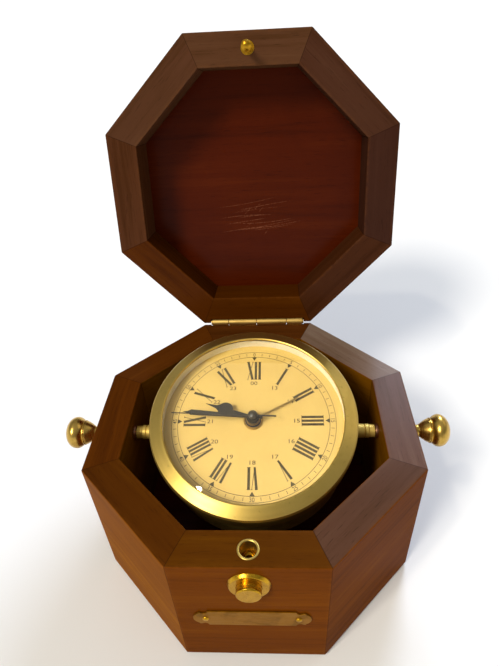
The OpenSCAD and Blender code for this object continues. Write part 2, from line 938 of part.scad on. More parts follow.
// A setting knob at the back: grip, arbor and pinion
module set_knob(at, r, n, a0, h0, h1) {
    difference() {
        union() {
            post(r, back_bottom - 5, back_bottom - 0.4, at);
            post(set_arbor, back_bottom - 1, h1, at);
            gear(n, work_m, a0, h0, h1, at);
        }
        for (k = [0 : 11])
            post(0.4, back_bottom - 6, back_bottom - 1.2, at + polar(r, k * 30));
    }
}

module time_set_knob() {
    color("dimgray") head() set_knob(time_set_at, 5.5, time_set_n, time_set_a, 4.2, 5.4);
}

module alarm_set_knob() {
    color("dimgray") head() set_knob(alarm_set_at, 4, alarm_set_n, alarm_set_a, 7.4, 8.6);
}

module alarm_switch() {
    color("red")
        head() translate([switch_at[0], switch_at[1], 0]) {
            translate([-1.1, -2.8, back_bottom - 0.3]) cube([2.2, 3, shell + 0.5]);
            translate([-2.4, -3.4, back_bottom + shell + 0.15]) cube([4.8, 4.2, 0.4]);
            translate([-2, -3.2, back_bottom - 1.8]) cube([4, 3.8, 1.6]);
        }
}

// ---- hands ----

// Turns a hand drawn along +Y to its clock angle, at height h
module at_clock(angle, h) head() translate([0, 0, h]) rotate(-angle) children();

// A flat hand: its outline less the hole for its pipe
module hand_plate(hub, hole) {
    difference() {
        linear_extrude(hand_t)
            union() {
                circle(hub);
                children();
            }
        translate([0, 0, -1]) cylinder(r = hole, h = hand_t + 2);
    }
}

module second_hand() {
    color("black")
        at_clock(second_angle, second_h) {
            difference() {
                union() {
                    linear_extrude(hand_t - 0.1)
                        polygon([[-0.4, -12], [0.4, -12], [0.2, 42], [-0.2, 42]]);
                    cylinder(r = 1.1, h = hand_t);
                    translate([0, 0, hand_t - 0.1])
                        rotate_extrude()
                            polygon([[0, 0], [2.3, 0], [2.4, 0.9], [1.9, 1.7], [1, 2.2], [0, 2.35]]);
                }
                translate([0, 0, -1]) cylinder(r = second_arbor, h = 1.3);
            }
        }
}

module minute_hand() {
    color("black")
        at_clock(minute_angle, minute_h)
            hand_plate(2.6, minute_bore + pipe_t)
                polygon([[-0.8, -5], [0.8, -5], [0.9, 8], [1.5, 32.2], [0.45, 34], [0, 36.4],
                    [-0.45, 34], [-1.5, 32.2], [-0.9, 8]]);
}

module hour_hand() {
    color("black")
        at_clock(hour_angle, hour_h)
            hand_plate(3.2, hour_bore + pipe_t) {
                polygon([[-1.1, 0], [1.1, 0], [1, 12], [-1, 12]]);
                translate([0, 15.2]) circle(4);
                polygon([[-2.2, 18.4], [2.2, 18.4], [0.9, 20.4], [0, 26.3], [-0.9, 20.4]]);
            }
}

module alarm_hand() {
    color("darkkhaki")
        at_clock(alarm_angle, alarm_h)
            hand_plate(3.6, alarm_pipe_bore + pipe_t)
                polygon([[-0.45, 0], [0.45, 0], [0.4, 25.5], [0, 27.2], [-0.4, 25.5]]);
}

base_stave_front();
base_stave_back();
base_side_staves();
base_corner_staves();
base_bottom_panel();
base_felt();
lid_end_staves();
lid_side_staves();
lid_corner_staves();
lid_top_panel();
hinge_leaf_base();
hinge_leaf_lid();
hinge_pin();
hinge_screws_base();
hinge_screws_lid();
catch_stud();
catch_ferrule();
latch_housing();
latch_plunger();
latch_spring();
latch_spring_cap();
name_plate();
name_plate_pins();
pivot_bushings();
pivot_studs();
pivot_spacers();
knob_left();
knob_right();
clock_cup();
bezel();
crystal();
crystal_gasket();
reflector_ring();
dial();
movement_front_housing();
movement_back_cover();
train_plate();
centre_nut();
rubber_washer();
battery();
battery_contacts();
circuit_board();
coil();
stator();
buzzer();
rotor();
intermediate_wheel();
second_wheel();
third_wheel();
centre_wheel();
minute_work_wheel();
hour_wheel();
alarm_wheel();
time_set_knob();
alarm_set_knob();
alarm_switch();
second_hand();
minute_hand();
hour_hand();
alarm_hand();
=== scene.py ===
import json
import math
import random

import bmesh
import bpy
from mathutils import Matrix, Vector


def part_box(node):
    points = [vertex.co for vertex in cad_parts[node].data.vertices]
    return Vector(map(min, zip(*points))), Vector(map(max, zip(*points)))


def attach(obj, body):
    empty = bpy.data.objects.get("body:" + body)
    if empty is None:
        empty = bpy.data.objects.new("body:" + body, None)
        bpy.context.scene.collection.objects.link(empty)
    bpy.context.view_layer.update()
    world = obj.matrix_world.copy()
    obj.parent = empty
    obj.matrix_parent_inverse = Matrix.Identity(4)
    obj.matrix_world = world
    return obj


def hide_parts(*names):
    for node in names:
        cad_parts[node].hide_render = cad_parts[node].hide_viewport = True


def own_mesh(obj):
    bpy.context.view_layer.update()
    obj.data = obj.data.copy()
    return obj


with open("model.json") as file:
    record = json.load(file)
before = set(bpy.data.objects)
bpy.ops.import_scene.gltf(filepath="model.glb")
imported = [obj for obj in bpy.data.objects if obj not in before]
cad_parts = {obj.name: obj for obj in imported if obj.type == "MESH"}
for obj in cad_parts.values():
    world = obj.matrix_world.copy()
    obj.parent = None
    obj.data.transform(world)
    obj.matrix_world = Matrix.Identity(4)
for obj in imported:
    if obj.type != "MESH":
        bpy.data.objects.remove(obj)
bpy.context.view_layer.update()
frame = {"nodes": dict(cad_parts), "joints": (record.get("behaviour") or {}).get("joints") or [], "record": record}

MM = 0.001
nodes, record = frame["nodes"], frame["record"]
joints = {j["name"]: j for j in frame["joints"]}
part = {n: b for b, ns in record["behaviour"]["bodies"].items() for n in ns}
slot_of = {s["node"]: s["material_slot"] for s in record["subparts"]}

# ---- places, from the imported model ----

PIVOT = Vector(joints["clock_tilt"]["pos_m"])
DIAL_AXIS = -Vector(joints["second_hand_turn"]["axis"])
TILT = math.atan2(-DIAL_AXIS.y, DIAL_AXIS.z)
HEAD = Matrix.Translation(PIVOT) @ Matrix.Rotation(TILT, 4, "X")
HINGE = Vector(joints["lid_hinge"]["pos_m"])
OPEN = math.radians(joints["lid_hinge"]["range_deg"][0])
OPENED = Matrix.Translation(HINGE) @ Matrix.Rotation(OPEN, 4, "X") @ Matrix.Translation(-HINGE)


def span(node, matrix=Matrix.Identity(4)):
    """Lowest and highest corner of a CAD node in a local frame, in mm."""
    inv = matrix.inverted()
    points = [inv @ v.co / MM for v in nodes[node].data.vertices]
    return [Vector([f(p[i] for p in points) for i in range(3)]) for f in (min, max)]


def middle(node):
    """Centre of a CAD node's box at rest, in mm."""
    low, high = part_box(node)
    return (low + high) / 2 / MM


base_hi = span("base_side_staves")[1]
HALF = base_hi.x
BASE_TOP = base_hi.z
FELT_T = span("base_felt")[1].z
rim_points = [v.co / MM for v in nodes["base_side_staves"].data.vertices if v.co.z / MM > BASE_TOP - 0.01]
CAVITY = min(abs(q.x) for q in rim_points)
PANEL_TOP = span("base_bottom_panel")[1].z
REBATE = span("base_bottom_panel")[1].x
lid_lo, lid_hi = span("lid_side_staves", OPENED)
lid_panel_lo, lid_panel_hi = span("lid_top_panel", OPENED)
BUTTON = middle("latch_plunger")
FERRULE = middle("catch_ferrule")
ferrule_lo, ferrule_hi = span("catch_ferrule")
# Radius of the hole for the catch's housing, behind its face plate
SLEEVE = max(v.co.x for v in nodes["latch_housing"].data.vertices if v.co.y / MM > -HALF + 1) / MM + 0.05
SECTOR = math.radians(45)
DIAL_H = span("dial", HEAD)[1].z

# ---- mesh helpers ----

# In mm and radians: BEND_SUPPORT is how far beyond a rounded edge an extra loop keeps the flat face flat
SAME_POINT = 2e-3
FLAT_ANGLE, SHARP_ANGLE = math.radians(0.6), math.radians(30)
BEND_SUPPORT = 1.3


def link(name, mesh):
    ob = bpy.data.objects.new(name, mesh)
    bpy.context.scene.collection.objects.link(ob)
    return ob


def piece(name, bm, body, material, replaces=(), matrix=None, angle=32, weighted=True):
    """Makes a smooth-shaded piece from a bmesh in mm, places it, and makes it ride on its CAD body."""
    bmesh.ops.recalc_face_normals(bm, faces=bm.faces)
    mesh = bpy.data.meshes.new(name)
    bm.to_mesh(mesh)
    bm.free()
    mesh.transform(Matrix.Scale(MM, 4))
    for p in mesh.polygons:
        p.use_smooth = True
    mesh.set_sharp_from_angle(angle=math.radians(angle))
    ob = link(name, mesh)
    if matrix is not None:
        ob.matrix_world = matrix
    mesh.materials.append(material)
    if weighted:
        w = ob.modifiers.new("normals", "WEIGHTED_NORMAL")
        w.keep_sharp = True
    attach(ob, body)
    if replaces:
        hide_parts(*replaces)
    return ob


def fillet(points, radii, steps=4, closed=True, support=0.0):
    """Rounds the corners of a profile. With support, points a little beyond each arc keep long faces flat."""
    out = []
    n = len(points)
    if not isinstance(radii, (list, tuple)):
        radii = [radii] * n
    for i, (p, r) in enumerate(zip(points, radii)):
        if (not closed and i in (0, n - 1)) or r <= 0:
            out.append(tuple(p))
            continue
        a, b, c = Vector(points[i - 1]), Vector(p), Vector(points[(i + 1) % n])
        u, v = (a - b), (c - b)
        lu, lv = u.length, v.length
        if lu < 1e-6 or lv < 1e-6:
            out.append(tuple(p))
            continue
        u, v = u / lu, v / lv
        half = math.acos(max(-1, min(1, u.dot(v)))) / 2
        if half > math.radians(86):
            out.append(tuple(p))
            continue
        cut = min(r / math.tan(half), 0.45 * lu, 0.45 * lv)
        r = cut * math.tan(half)
        centre = b + (u + v).normalized() * (r / math.sin(half))
        s, e = b + u * cut, b + v * cut
        if support and lu > 2.5 * (cut + support):
            out.append(tuple(b + u * (cut + support)))
        a0, a1 = (s - centre), (e - centre)
        turn = a0.angle_signed(a1)
        for k in range(steps + 1):
            t = -turn * k / steps
            out.append((centre.x + a0.x * math.cos(t) - a0.y * math.sin(t),
                        centre.y + a0.x * math.sin(t) + a0.y * math.cos(t)))
        if support and lv > 2.5 * (cut + support):
            out.append(tuple(b + v * (cut + support)))
    return out


def lathe(profile, segments=96, closed=False):
    """A solid of revolution about local Z from (r, h) points. An open profile starts and ends on the axis."""
    bm = bmesh.new()
    rings = []
    for r, h in profile:
        if r < 1e-6:
            rings.append([bm.verts.new((0, 0, h))])
        else:
            steps = [2 * math.pi * k / segments for k in range(segments)]
            rings.append([bm.verts.new((r * math.cos(t), r * math.sin(t), h)) for t in steps])
    for a, b in zip(rings, rings[1:] + ([rings[0]] if closed else [])):
        for k in range(segments):
            j = (k + 1) % segments
            loop = [a[k % len(a)], a[j % len(a)], b[j % len(b)], b[k % len(b)]]
            seen = []
            for v in loop:
                if v not in seen:
                    seen.append(v)
            if len(seen) > 2:
                bm.faces.new(seen)
    return bm


def refined(node, width, material=None):
    """A CAD node's own shape with its sharp edges eased to that width in mm, standing for the node."""
    bm = bmesh.new()
    bm.from_mesh(nodes[node].data)
    bmesh.ops.scale(bm, vec=(1 / MM,) * 3, verts=bm.verts)
    bmesh.ops.remove_doubles(bm, verts=bm.verts, dist=SAME_POINT)
    bmesh.ops.dissolve_limit(bm, angle_limit=FLAT_ANGLE, verts=bm.verts, edges=bm.edges)
    if width > 0:
        edges = [e for e in bm.edges if e.is_manifold and e.calc_face_angle(0) > SHARP_ANGLE]
        bmesh.ops.bevel(bm, geom=edges, offset=width, offset_type="OFFSET", segments=2, profile=0.5,
                        clamp_overlap=False, affect="EDGES")
    return piece(node + "_fine", bm, part[node], material or MATERIAL[slot_of[node]], replaces=(node,))


def octagon_loops(profile, corner):
    """A mitred octagonal ring or panel from an (apothem, z) profile. corner(apothem) is a corner's radius."""
    bm = bmesh.new()
    rows = []
    for a, z in profile:
        if a < 1e-6:
            rows.append([bm.verts.new((0, 0, z))])
            continue
        r = corner(a)
        row = []
        for k in range(8):
            start, mid, end = (SECTOR * (k + share) for share in (0, 0.5, 1))
            c = Vector((math.cos(mid), math.sin(mid))) * ((a - r) / math.cos(SECTOR / 2))
            turns = [start + SECTOR * share for share in (0, 0.25, 0.5, 0.75, 1)]
            pts = [c + r * Vector((math.cos(t), math.sin(t))) for t in turns]
            before = pts[0] + BEND_SUPPORT * Vector((math.sin(start), -math.cos(start)))
            after = pts[-1] + BEND_SUPPORT * Vector((-math.sin(end), math.cos(end)))
            for q in (before, *pts, after):
                row.append(bm.verts.new((q.x, q.y, z)))
        rows.append(row)
    for a, b in zip(rows, rows[1:] + [rows[0]]):
        if len(a) == 1 and len(b) == 1:
            continue
        m = max(len(a), len(b))
        for k in range(m):
            j = (k + 1) % m
            if len(a) == 1:
                bm.faces.new((a[0], b[j], b[k]))
            elif len(b) == 1:
                bm.faces.new((a[k], a[j], b[0]))
            else:
                bm.faces.new((a[k], a[j], b[j], b[k]))
    bmesh.ops.recalc_face_normals(bm, faces=bm.faces)
    return bm


def tool(bm, direction, place, radius, length, segments=48):
    """Adds a round cutter to a bmesh: from place, along direction."""
    turn = Vector((0, 0, 1)).rotation_difference(Vector(direction)).to_matrix().to_4x4()
    m = Matrix.Translation(Vector(place) + Vector(direction) * length / 2) @ turn
    bmesh.ops.create_cone(bm, cap_ends=True, segments=segments, radius1=radius, radius2=radius, depth=length,
                          matrix=m)


def block(bm, lo, hi):
    """Adds a box-shaped cutter to a bmesh."""
    lo, hi = Vector(lo), Vector(hi)
    m = Matrix.Translation((lo + hi) / 2) @ Matrix.Diagonal((*(hi - lo), 1))
    bmesh.ops.create_cube(bm, size=1, matrix=m)


def carve(bm, cutter):
    """Takes the cutter away from the solid with an exact boolean."""
    meshes = []
    for b in (bm, cutter):
        bmesh.ops.recalc_face_normals(b, faces=b.faces)
        mesh = bpy.data.meshes.new("carve")
        b.to_mesh(mesh)
        b.free()
        meshes.append(link("carve", mesh))
    solid, knife = meshes
    mod = solid.modifiers.new("carve", "BOOLEAN")
    mod.operation, mod.solver, mod.use_self, mod.object = "DIFFERENCE", "EXACT", True, knife
    bpy.context.view_layer.update()
    done = bpy.data.meshes.new_from_object(solid.evaluated_get(bpy.context.evaluated_depsgraph_get()))
    out = bmesh.new()
    out.from_mesh(done)
    for o in meshes:
        bpy.data.objects.remove(o)
    return out


def stave_of(x, y):
    """Which stave a point belongs to, in eighths of a turn round from the front."""
    return int(math.floor((math.degrees(math.atan2(y, x)) + 90 + 22.5) % 360 / 45))


# Tints of the staves, from the front (or catch) end round by the right. Besides a little tint of each board, as
# boards of a set are never alike, they hold painted light: lighter front faces and a lighter front-left stave
# where the key light falls, painted shade on the lid's right side, and a painted grey-violet sheen, a painted
# window reflection, on the rims, most of all at the base's back right. They multiply the wood's colour, whose blue
# is close to nothing, so a greyer painted sheen takes a large blue.
# Faces: painted light, lighter at the front and on the front-left stave
FACE_TINT_AND_PAINTED_LIGHT = [(1.33, 1.32, 1.0), (1.4, 1.34, 1.0), (1.0, 1.0, 1.0), (1.0, 1.0, 1.0),
             (1.0, 1.0, 1.0), (1.0, 1.0, 1.0), (1.05, 1.0, 1.0), (1.85, 2.2, 1.0)]
# Base rims: painted sheen (a painted window reflection), strongest at the back right, and painted shade at the
# front left
RIM_TINT_AND_PAINTED_SHEEN = [(0.86, 0.97, 1.0), (0.85, 1.45, 34.0), (1.1, 2.1, 62.0), (1.65, 4.2, 135.0),
            (0.8, 0.9, 6.0), (0.9, 0.95, 4.0), (1.0, 1.0, 1.0), (0.78, 0.82, 1.0)]
# Lid: painted shade on its right side and painted sheen on its rims
LID_TINT_AND_PAINTED_LIGHT = [(0.88, 1.4, 26.0), (0.6, 0.85, 18.0), (0.42, 0.55, 13.0), (0.52, 0.6, 8.0),
            (0.7, 0.68, 1.0), (0.72, 0.66, 1.0), (0.74, 0.95, 14.0), (0.82, 1.25, 24.0)]
LID_FACE_TONE = (0.93, 0.93, 1.0)
# Cavity's inner faces: painted light, lighter than the little light that reaches them
CAVITY_PAINTED_LIGHT = (1.5, 2.2, 2.2)
ON_FACE = 0.06  # mm within which a point counts as on a face
WEAR_REACH = 0.9  # mm from an edge that wear reaches


def store(mesh, **values):
    """Stores one number or one triple for each vertex, which the wood's material reads."""
    for name, data in values.items():
        triple = hasattr(data[0], "__len__")
        kind, field = ("FLOAT_VECTOR", "vector") if triple else ("FLOAT", "value")
        flat = [c for triplet in data for c in triplet] if triple else data
        mesh.attributes.new(name, kind, "POINT").data.foreach_set(field, flat)


def staves(bm, groups, body, lid):
    """Splits a carved ring into its mitred staves, a piece for each CAD node, and stores the grain."""
    owner = {f.index: stave_of(*f.calc_center_median().xy) for f in bm.faces}
    for node, which in groups.items():
        part_bm = bmesh.new()
        for k in which:
            made = {}
            for f in bm.faces:
                if owner[f.index] != k:
                    continue
                vs = []
                for v in f.verts:
                    if v.index not in made:
                        made[v.index] = part_bm.verts.new(v.co)
                    vs.append(made[v.index])
                part_bm.faces.new(vs)
        open_edges = [e for e in part_bm.edges if e.is_boundary]
        bmesh.ops.holes_fill(part_bm, edges=open_edges, sides=0)
        grain, seed, worn, tone = [], [], [], []
        for v in part_bm.verts:
            centre = sum((f.calc_center_median() for f in v.link_faces), Vector()) / max(1, len(v.link_faces))
            k = stave_of(centre.x, centre.y) if len(which) > 1 else which[0]
            a = -SECTOR * k
            x = v.co.x * math.cos(a) - v.co.y * math.sin(a)
            y = v.co.x * math.sin(a) + v.co.y * math.cos(a)
            grain.append((x * MM, y * MM, v.co.z * MM))
            seed.append(k * 1.37 + (9.1 if lid else 0.0))
            outer = min(abs(-y - HALF), 9.0)
            inner = min(abs(-y - CAVITY), 9.0)
            rim, far_rim = (lid_lo.z, lid_hi.z) if lid else (BASE_TOP, FELT_T)
            # Each vertex takes its tint with painted light: painted shade and sheen on the lid, painted sheen on
            # the base's rims, painted light on the faces and in the cavity
            if lid:
                tone.append(LID_FACE_TONE if outer < ON_FACE and v.co.z > rim + ON_FACE else LID_TINT_AND_PAINTED_LIGHT[k])
            elif abs(v.co.z - rim) < ON_FACE:
                tone.append(RIM_TINT_AND_PAINTED_SHEEN[k])
            else:
                tone.append(CAVITY_PAINTED_LIGHT if inner < ON_FACE else FACE_TINT_AND_PAINTED_LIGHT[k])
            ends = (abs(v.co.z - rim), abs(v.co.z - far_rim))
            mitre = (-y * math.tan(SECTOR / 2) - abs(x)) * math.cos(SECTOR / 2)
            near = min(math.hypot(outer, ends[0]), math.hypot(outer, ends[1]), math.hypot(inner, ends[0]),
                       math.hypot(outer, max(0.0, mitre)))
            worn.append(max(0.0, min(1.0, 1.5 - near / WEAR_REACH)))
        mesh = piece(node + "_fine", part_bm, body, MATERIAL["wood_stave"], replaces=(node,), angle=40).data
        store(mesh, grain=grain, seed=seed, worn=worn, tone=tone)
        if lid:
            mesh.transform(OPENED)
            mesh.update()
    bm.free()


# ---- material helpers ----


class Graph:
    """A procedural material under construction, with its Principled shader as .shader."""

    def __init__(self, name):
        self.mat = bpy.data.materials.new(name)
        self.mat.use_nodes = True
        self.tree = self.mat.node_tree
        self.shader = self.tree.nodes["Principled BSDF"]
        self.out = self.tree.nodes["Material Output"]

    def add(self, kind, *ins, out=0, **props):
        node = self.tree.nodes.new("ShaderNode" + kind)
        for k, v in props.items():
            setattr(node, k, v)
        for key, value in ins:
            socket = node.inputs[key]
            if isinstance(value, bpy.types.NodeSocket):
                self.tree.links.new(value, socket)
            else:
                socket.default_value = value
        return node.outputs[out]

    def at(self):
        return self.add("TexCoord", out="Object")

    def attr(self, name, out="Vector"):
        return self.add("Attribute", out=out, attribute_name=name)

    def parts(self, vector):
        return [self.add("SeparateXYZ", (0, vector), out=i) for i in range(3)]

    def stretch(self, vector, scale, turn=(0, 0, 0)):
        return self.add("Mapping", ("Vector", vector), ("Scale", scale), ("Rotation", turn))

    def noise(self, vector, scale=1.0, detail=3.0, rough=0.55, distort=0.0, w=None, out=0):
        ins = [("Vector", vector), ("Scale", scale), ("Detail", detail), ("Roughness", rough),
               ("Distortion", distort)]
        if w is not None:
            ins.append(("W", w))
        return self.add("TexNoise", *ins, out=out, noise_dimensions="4D" if w is not None else "3D")

    def ramp(self, value, *stops, ease="LINEAR"):
        node = self.tree.nodes.new("ShaderNodeValToRGB")
        node.color_ramp.interpolation = ease
        self.tree.links.new(value, node.inputs[0])
        e = node.color_ramp.elements
        while len(e) < len(stops):
            e.new(0.5)
        for el, (p, c) in zip(e, stops):
            el.position = p
            el.color = (*c, 1) if hasattr(c, "__len__") else (c, c, c, 1)
        return node.outputs[0]

    def math(self, op, a, b=0.0, c=None, clamp=False):
        ins = [(0, a), (1, b)] + ([(2, c)] if c is not None else [])
        return self.add("Math", *ins, operation=op, use_clamp=clamp)

    def remap(self, value, lo, hi, to_lo=0.0, to_hi=1.0, smooth=True):
        return self.add("MapRange", (0, value), (1, lo), (2, hi), (3, to_lo), (4, to_hi),
                        interpolation_type="SMOOTHSTEP" if smooth else "LINEAR")

    def mix(self, fac, a, b, blend="MIX"):
        fix = lambda c: c if isinstance(c, bpy.types.NodeSocket) else (*c, 1)
        return self.add("Mix", (0, fac), (6, fix(a)), (7, fix(b)), out=2, data_type="RGBA", blend_type=blend)

    def bump(self, *layers):
        """Stacks (height, strength, distance) layers into one normal."""
        normal = None
        for height, strength, distance in layers:
            ins = [("Height", height), ("Strength", strength), ("Distance", distance)]
            if normal is not None:
                ins.append(("Normal", normal))
            normal = self.add("Bump", *ins)
        self.tree.links.new(normal, self.shader.inputs["Normal"])

    def set(self, **values):
        for k, v in values.items():
            socket = self.shader.inputs[k.replace("_", " ")]
            if isinstance(v, bpy.types.NodeSocket):
                self.tree.links.new(v, socket)
            else:
                socket.default_value = (*v, 1) if socket.type == "RGBA" else v


def srgb(r, g, b):
    """Linear colour of a screen colour from 0 to 255."""
    f = lambda c: c / 255 / 12.92 if c <= 10 else ((c / 255 + 0.055) / 1.055) ** 2.4
    return (f(r), f(g), f(b))


def shade_of(colour, factor):
    return tuple(c * factor for c in colour)


def wood(name, dark, mid, light, coat, scale=1.0, marks=False, rough=0.42, edge_wear=0.1):
    """Lacquered mahogany: ribbon figure, streaks, dark pores along the grain, glue lines and worn edges, times
    each piece's stored tone, which carries painted light, painted shade and painted sheen.
    """
    g = Graph(name)
    p, seed = g.attr("grain"), g.attr("seed", "Fac")
    worn = g.attr("worn", "Fac")
    bend = g.add("VectorMath", (0, g.noise(p, 9, 2, w=seed, out=1)), ("Scale", 0.0035), operation="SCALE")
    p2 = g.add("VectorMath", (0, p), (1, bend), operation="ADD")
    figure = g.noise(g.stretch(p2, (5 * scale, 75 * scale, 75 * scale)), 1, 4, 0.6, 0.3, w=seed)
    streak = g.noise(g.stretch(p2, (16 * scale, 420 * scale, 420 * scale)), 1, 4, 0.65, w=seed)
    pore = g.noise(g.stretch(p2, (150 * scale, 2600 * scale, 2600 * scale)), 1, 2, 0.5, w=seed)
    cloud = g.noise(p, 22, 3, w=seed)
    tone = g.math("ADD", g.math("MULTIPLY", figure, 0.62), g.math("MULTIPLY", streak, 0.38))
    colour = g.ramp(tone, (0.36, dark), (0.5, mid), (0.66, light), ease="EASE")
    colour = g.mix(g.remap(cloud, 0.35, 0.7, 0.0, 0.25), colour, dark)
    pores = g.remap(pore, 0.60, 0.70)
    colour = g.mix(g.math("MULTIPLY", pores, 0.4), colour, shade_of(dark, 0.3))
    x, y, z = g.parts(p)
    if not marks:
        # The glue line of a mitre, from the distance to it
        reach = g.math("MULTIPLY", y, -math.tan(SECTOR / 2))
        across = g.math("MULTIPLY", g.math("SUBTRACT", reach, g.math("ABSOLUTE", x)), math.cos(SECTOR / 2))
        joint = g.remap(g.math("ABSOLUTE", across), 0.00005, 0.00028, 1.0, 0.0)
        colour = g.mix(g.math("MULTIPLY", joint, 0.6), colour, shade_of(dark, 0.2))
    # Each piece's stored tone: board tints together with painted light, painted shade and painted sheen
    colour = g.mix(1.0, colour, g.attr("tone", "Color"), "MULTIPLY")
    rub = g.noise(p, 260, 3, 0.6)
    wear = g.math("MULTIPLY", worn, g.remap(rub, 0.35, 0.62), clamp=True)
    colour = g.mix(g.math("MULTIPLY", wear, edge_wear), colour, tuple(min(1, c * 1.9 + 0.01) for c in light))
    smudge = g.noise(p, 45, 4, 0.6, 0.5)
    r = g.remap(smudge, 0.3, 0.75, rough - 0.07, rough + 0.12, smooth=False)
    r = g.math("ADD", r, g.math("MULTIPLY", pores, 0.12))
    heights = [(figure, 0.10, 0.0004), (pores, 0.25, -0.00004), (g.noise(p, 900, 2), 0.06, 0.00003)]
    if marks:
        # Fine rub marks left on the inside of the lid by the clock's crystal
        total = None
        made = random.Random(5)
        for i in range(18):
            fine = i >= 13
            cx = (3 + made.uniform(-9, 9)) * MM
            cy = (19 + made.uniform(-11, 11) * (1.0 if fine else 0.8)) * MM
            ang = math.radians(made.uniform(-52, -38) if fine else made.uniform(-10, -2))
            half, width = made.uniform(*((2, 4) if fine else (11, 22))) * MM, made.uniform(0.10, 0.22) * MM
            dx, dy = g.math("SUBTRACT", x, cx), g.math("SUBTRACT", y, cy)
            cos, sin = math.cos(ang), math.sin(ang)
            u = g.math("ADD", g.math("MULTIPLY", dx, cos), g.math("MULTIPLY", dy, sin))
            v = g.math("SUBTRACT", g.math("MULTIPLY", dy, cos), g.math("MULTIPLY", dx, sin))
            v = g.math("ADD", v, g.math("MULTIPLY", g.math("MULTIPLY", u, u), made.uniform(-4, 4)))
            line = g.math("MULTIPLY", g.remap(g.math("ABSOLUTE", v), width * 0.3, width, 1.0, 0.0),
                          g.remap(g.math("ABSOLUTE", u), half * 0.5, half, 1.0, 0.0))
            total = line if total is None else g.math("MAXIMUM", total, line)
        inside = g.math("LESS_THAN", z, (lid_panel_lo.z + lid_panel_hi.z) / 2 * MM)
        broken = g.math("MULTIPLY", g.math("MULTIPLY", total, inside),
                        g.remap(g.noise(p, 1300, 2), 0.36, 0.58))
        colour = g.mix(g.math("MULTIPLY", broken, 0.5), colour, srgb(160, 98, 66))
        r = g.math("ADD", r, g.math("MULTIPLY", broken, 0.2))
        heights.append((broken, 0.3, -0.00003))
    g.set(Base_Color=colour, Roughness=r, IOR=1.45, Specular_IOR_Level=0.0,
          Coat_Weight=coat, Coat_Roughness=0.24, Coat_IOR=1.5)
    g.bump(*heights)
    return g.mat


def metal(name, base, tarnish, rough, finish="polished", dirt=0.35, tarnish_amount=0.5, lines=900.0,
          bare=1.0):
    """Brass and other metals: polish or machining lines, tarnish in clouds, small scratches, uneven gloss.
    lines is how close the lathe lines lie, and bare how metallic it is under its film of lacquer."""
    g = Graph(name)
    p = g.at()
    cloud = g.noise(p, 70, 4, 0.62, 0.6)
    spots = g.noise(p, 420, 3, 0.6)
    film = g.math("MULTIPLY", g.remap(cloud, 0.42, 0.72), tarnish_amount, clamp=True)
    colour = g.mix(film, base, tarnish)
    colour = g.mix(g.math("MULTIPLY", g.remap(spots, 0.62, 0.74), dirt), colour, shade_of(tarnish, 0.35))
    if finish == "turned":
        # Lathe lines run round the piece's own axis
        x, y, z = g.parts(p)
        radius = g.math("SQRT", g.math("ADD", g.math("MULTIPLY", x, x), g.math("MULTIPLY", y, y)))
        ring = g.add("CombineXYZ", (0, g.math("MULTIPLY", radius, lines)), (1, g.math("MULTIPLY", z, lines)),
                     (2, 0.0))
        fine = g.noise(ring, 1.0, 3, 0.7)
    elif finish == "brushed":
        fine = g.noise(g.stretch(p, (90, 4200, 4200)), 1, 3, 0.65)
    else:
        fine = g.noise(g.stretch(p, (700, 2400, 1500), turn=(0.5, 0.3, 0.7)), 1, 3, 0.6)
    hair = g.noise(g.stretch(p, (60, 5200, 900), turn=(0.2, 0.9, 1.1)), 1, 2, 0.5)
    scratches = g.remap(hair, 0.67, 0.73)
    r = g.remap(fine, 0.3, 0.7, rough * 0.7, rough * 1.35, smooth=False)
    r = g.math("ADD", r, g.math("MULTIPLY", film, 0.14))
    r = g.math("ADD", r, g.math("MULTIPLY", scratches, 0.10), clamp=True)
    g.set(Base_Color=colour, Metallic=bare, Roughness=r)
    depth = {"polished": 0.05, "turned": 0.16, "brushed": 0.14}[finish]
    g.bump((fine, depth, 0.00003), (scratches, 0.12, -0.00002), (cloud, 0.05, 0.0002))
    return g.mat


def plastic(name, base, rough, speck=0.0, clear=0.0):
    """Moulded plastic or paint: faint flow marks, fine texture and handling shine."""
    g = Graph(name)
    p = g.at()
    flow = g.noise(p, 55, 4, 0.6, 0.8)
    fine = g.noise(p, 2600, 2, 0.5)
    colour = g.mix(g.remap(flow, 0.3, 0.75), base, shade_of(base, 0.72))
    if speck:
        dots = g.remap(g.noise(p, 1500, 2), 0.63, 0.7)
        colour = g.mix(g.math("MULTIPLY", dots, speck), colour, shade_of(base, 0.3))
    r = g.remap(g.noise(p, 120, 3), 0.3, 0.7, rough - 0.08, rough + 0.12, smooth=False)
    g.set(Base_Color=colour, Roughness=r, Coat_Weight=clear, Coat_Roughness=0.12)
    g.bump((fine, 0.12, 0.00004), (flow, 0.05, 0.0003))
    return g.mat


def felt(name, base):
    """Woollen baize: crossed fibres, nap and lighter fuzz."""
    g = Graph(name)
    p = g.at()
    a = g.noise(g.stretch(p, (500, 4200, 900), turn=(0, 0, 0.5)), 1, 3, 0.7)
    b = g.noise(g.stretch(p, (4200, 500, 900), turn=(0, 0, 0.2)), 1, 3, 0.7)
    nap = g.noise(p, 60, 3)
    fibre = g.math("MAXIMUM", a, b)
    colour = g.mix(g.remap(fibre, 0.4, 0.75), shade_of(base, 0.55), shade_of(base, 1.6))
    colour = g.mix(g.remap(nap, 0.3, 0.8, 0.0, 0.4), colour, shade_of(base, 0.6))
    g.set(Base_Color=colour, Roughness=g.remap(nap, 0.2, 0.8, 0.85, 1.0), Sheen_Weight=0.5,
          Sheen_Roughness=0.5)
    g.bump((fibre, 0.6, 0.0003))
    return g.mat


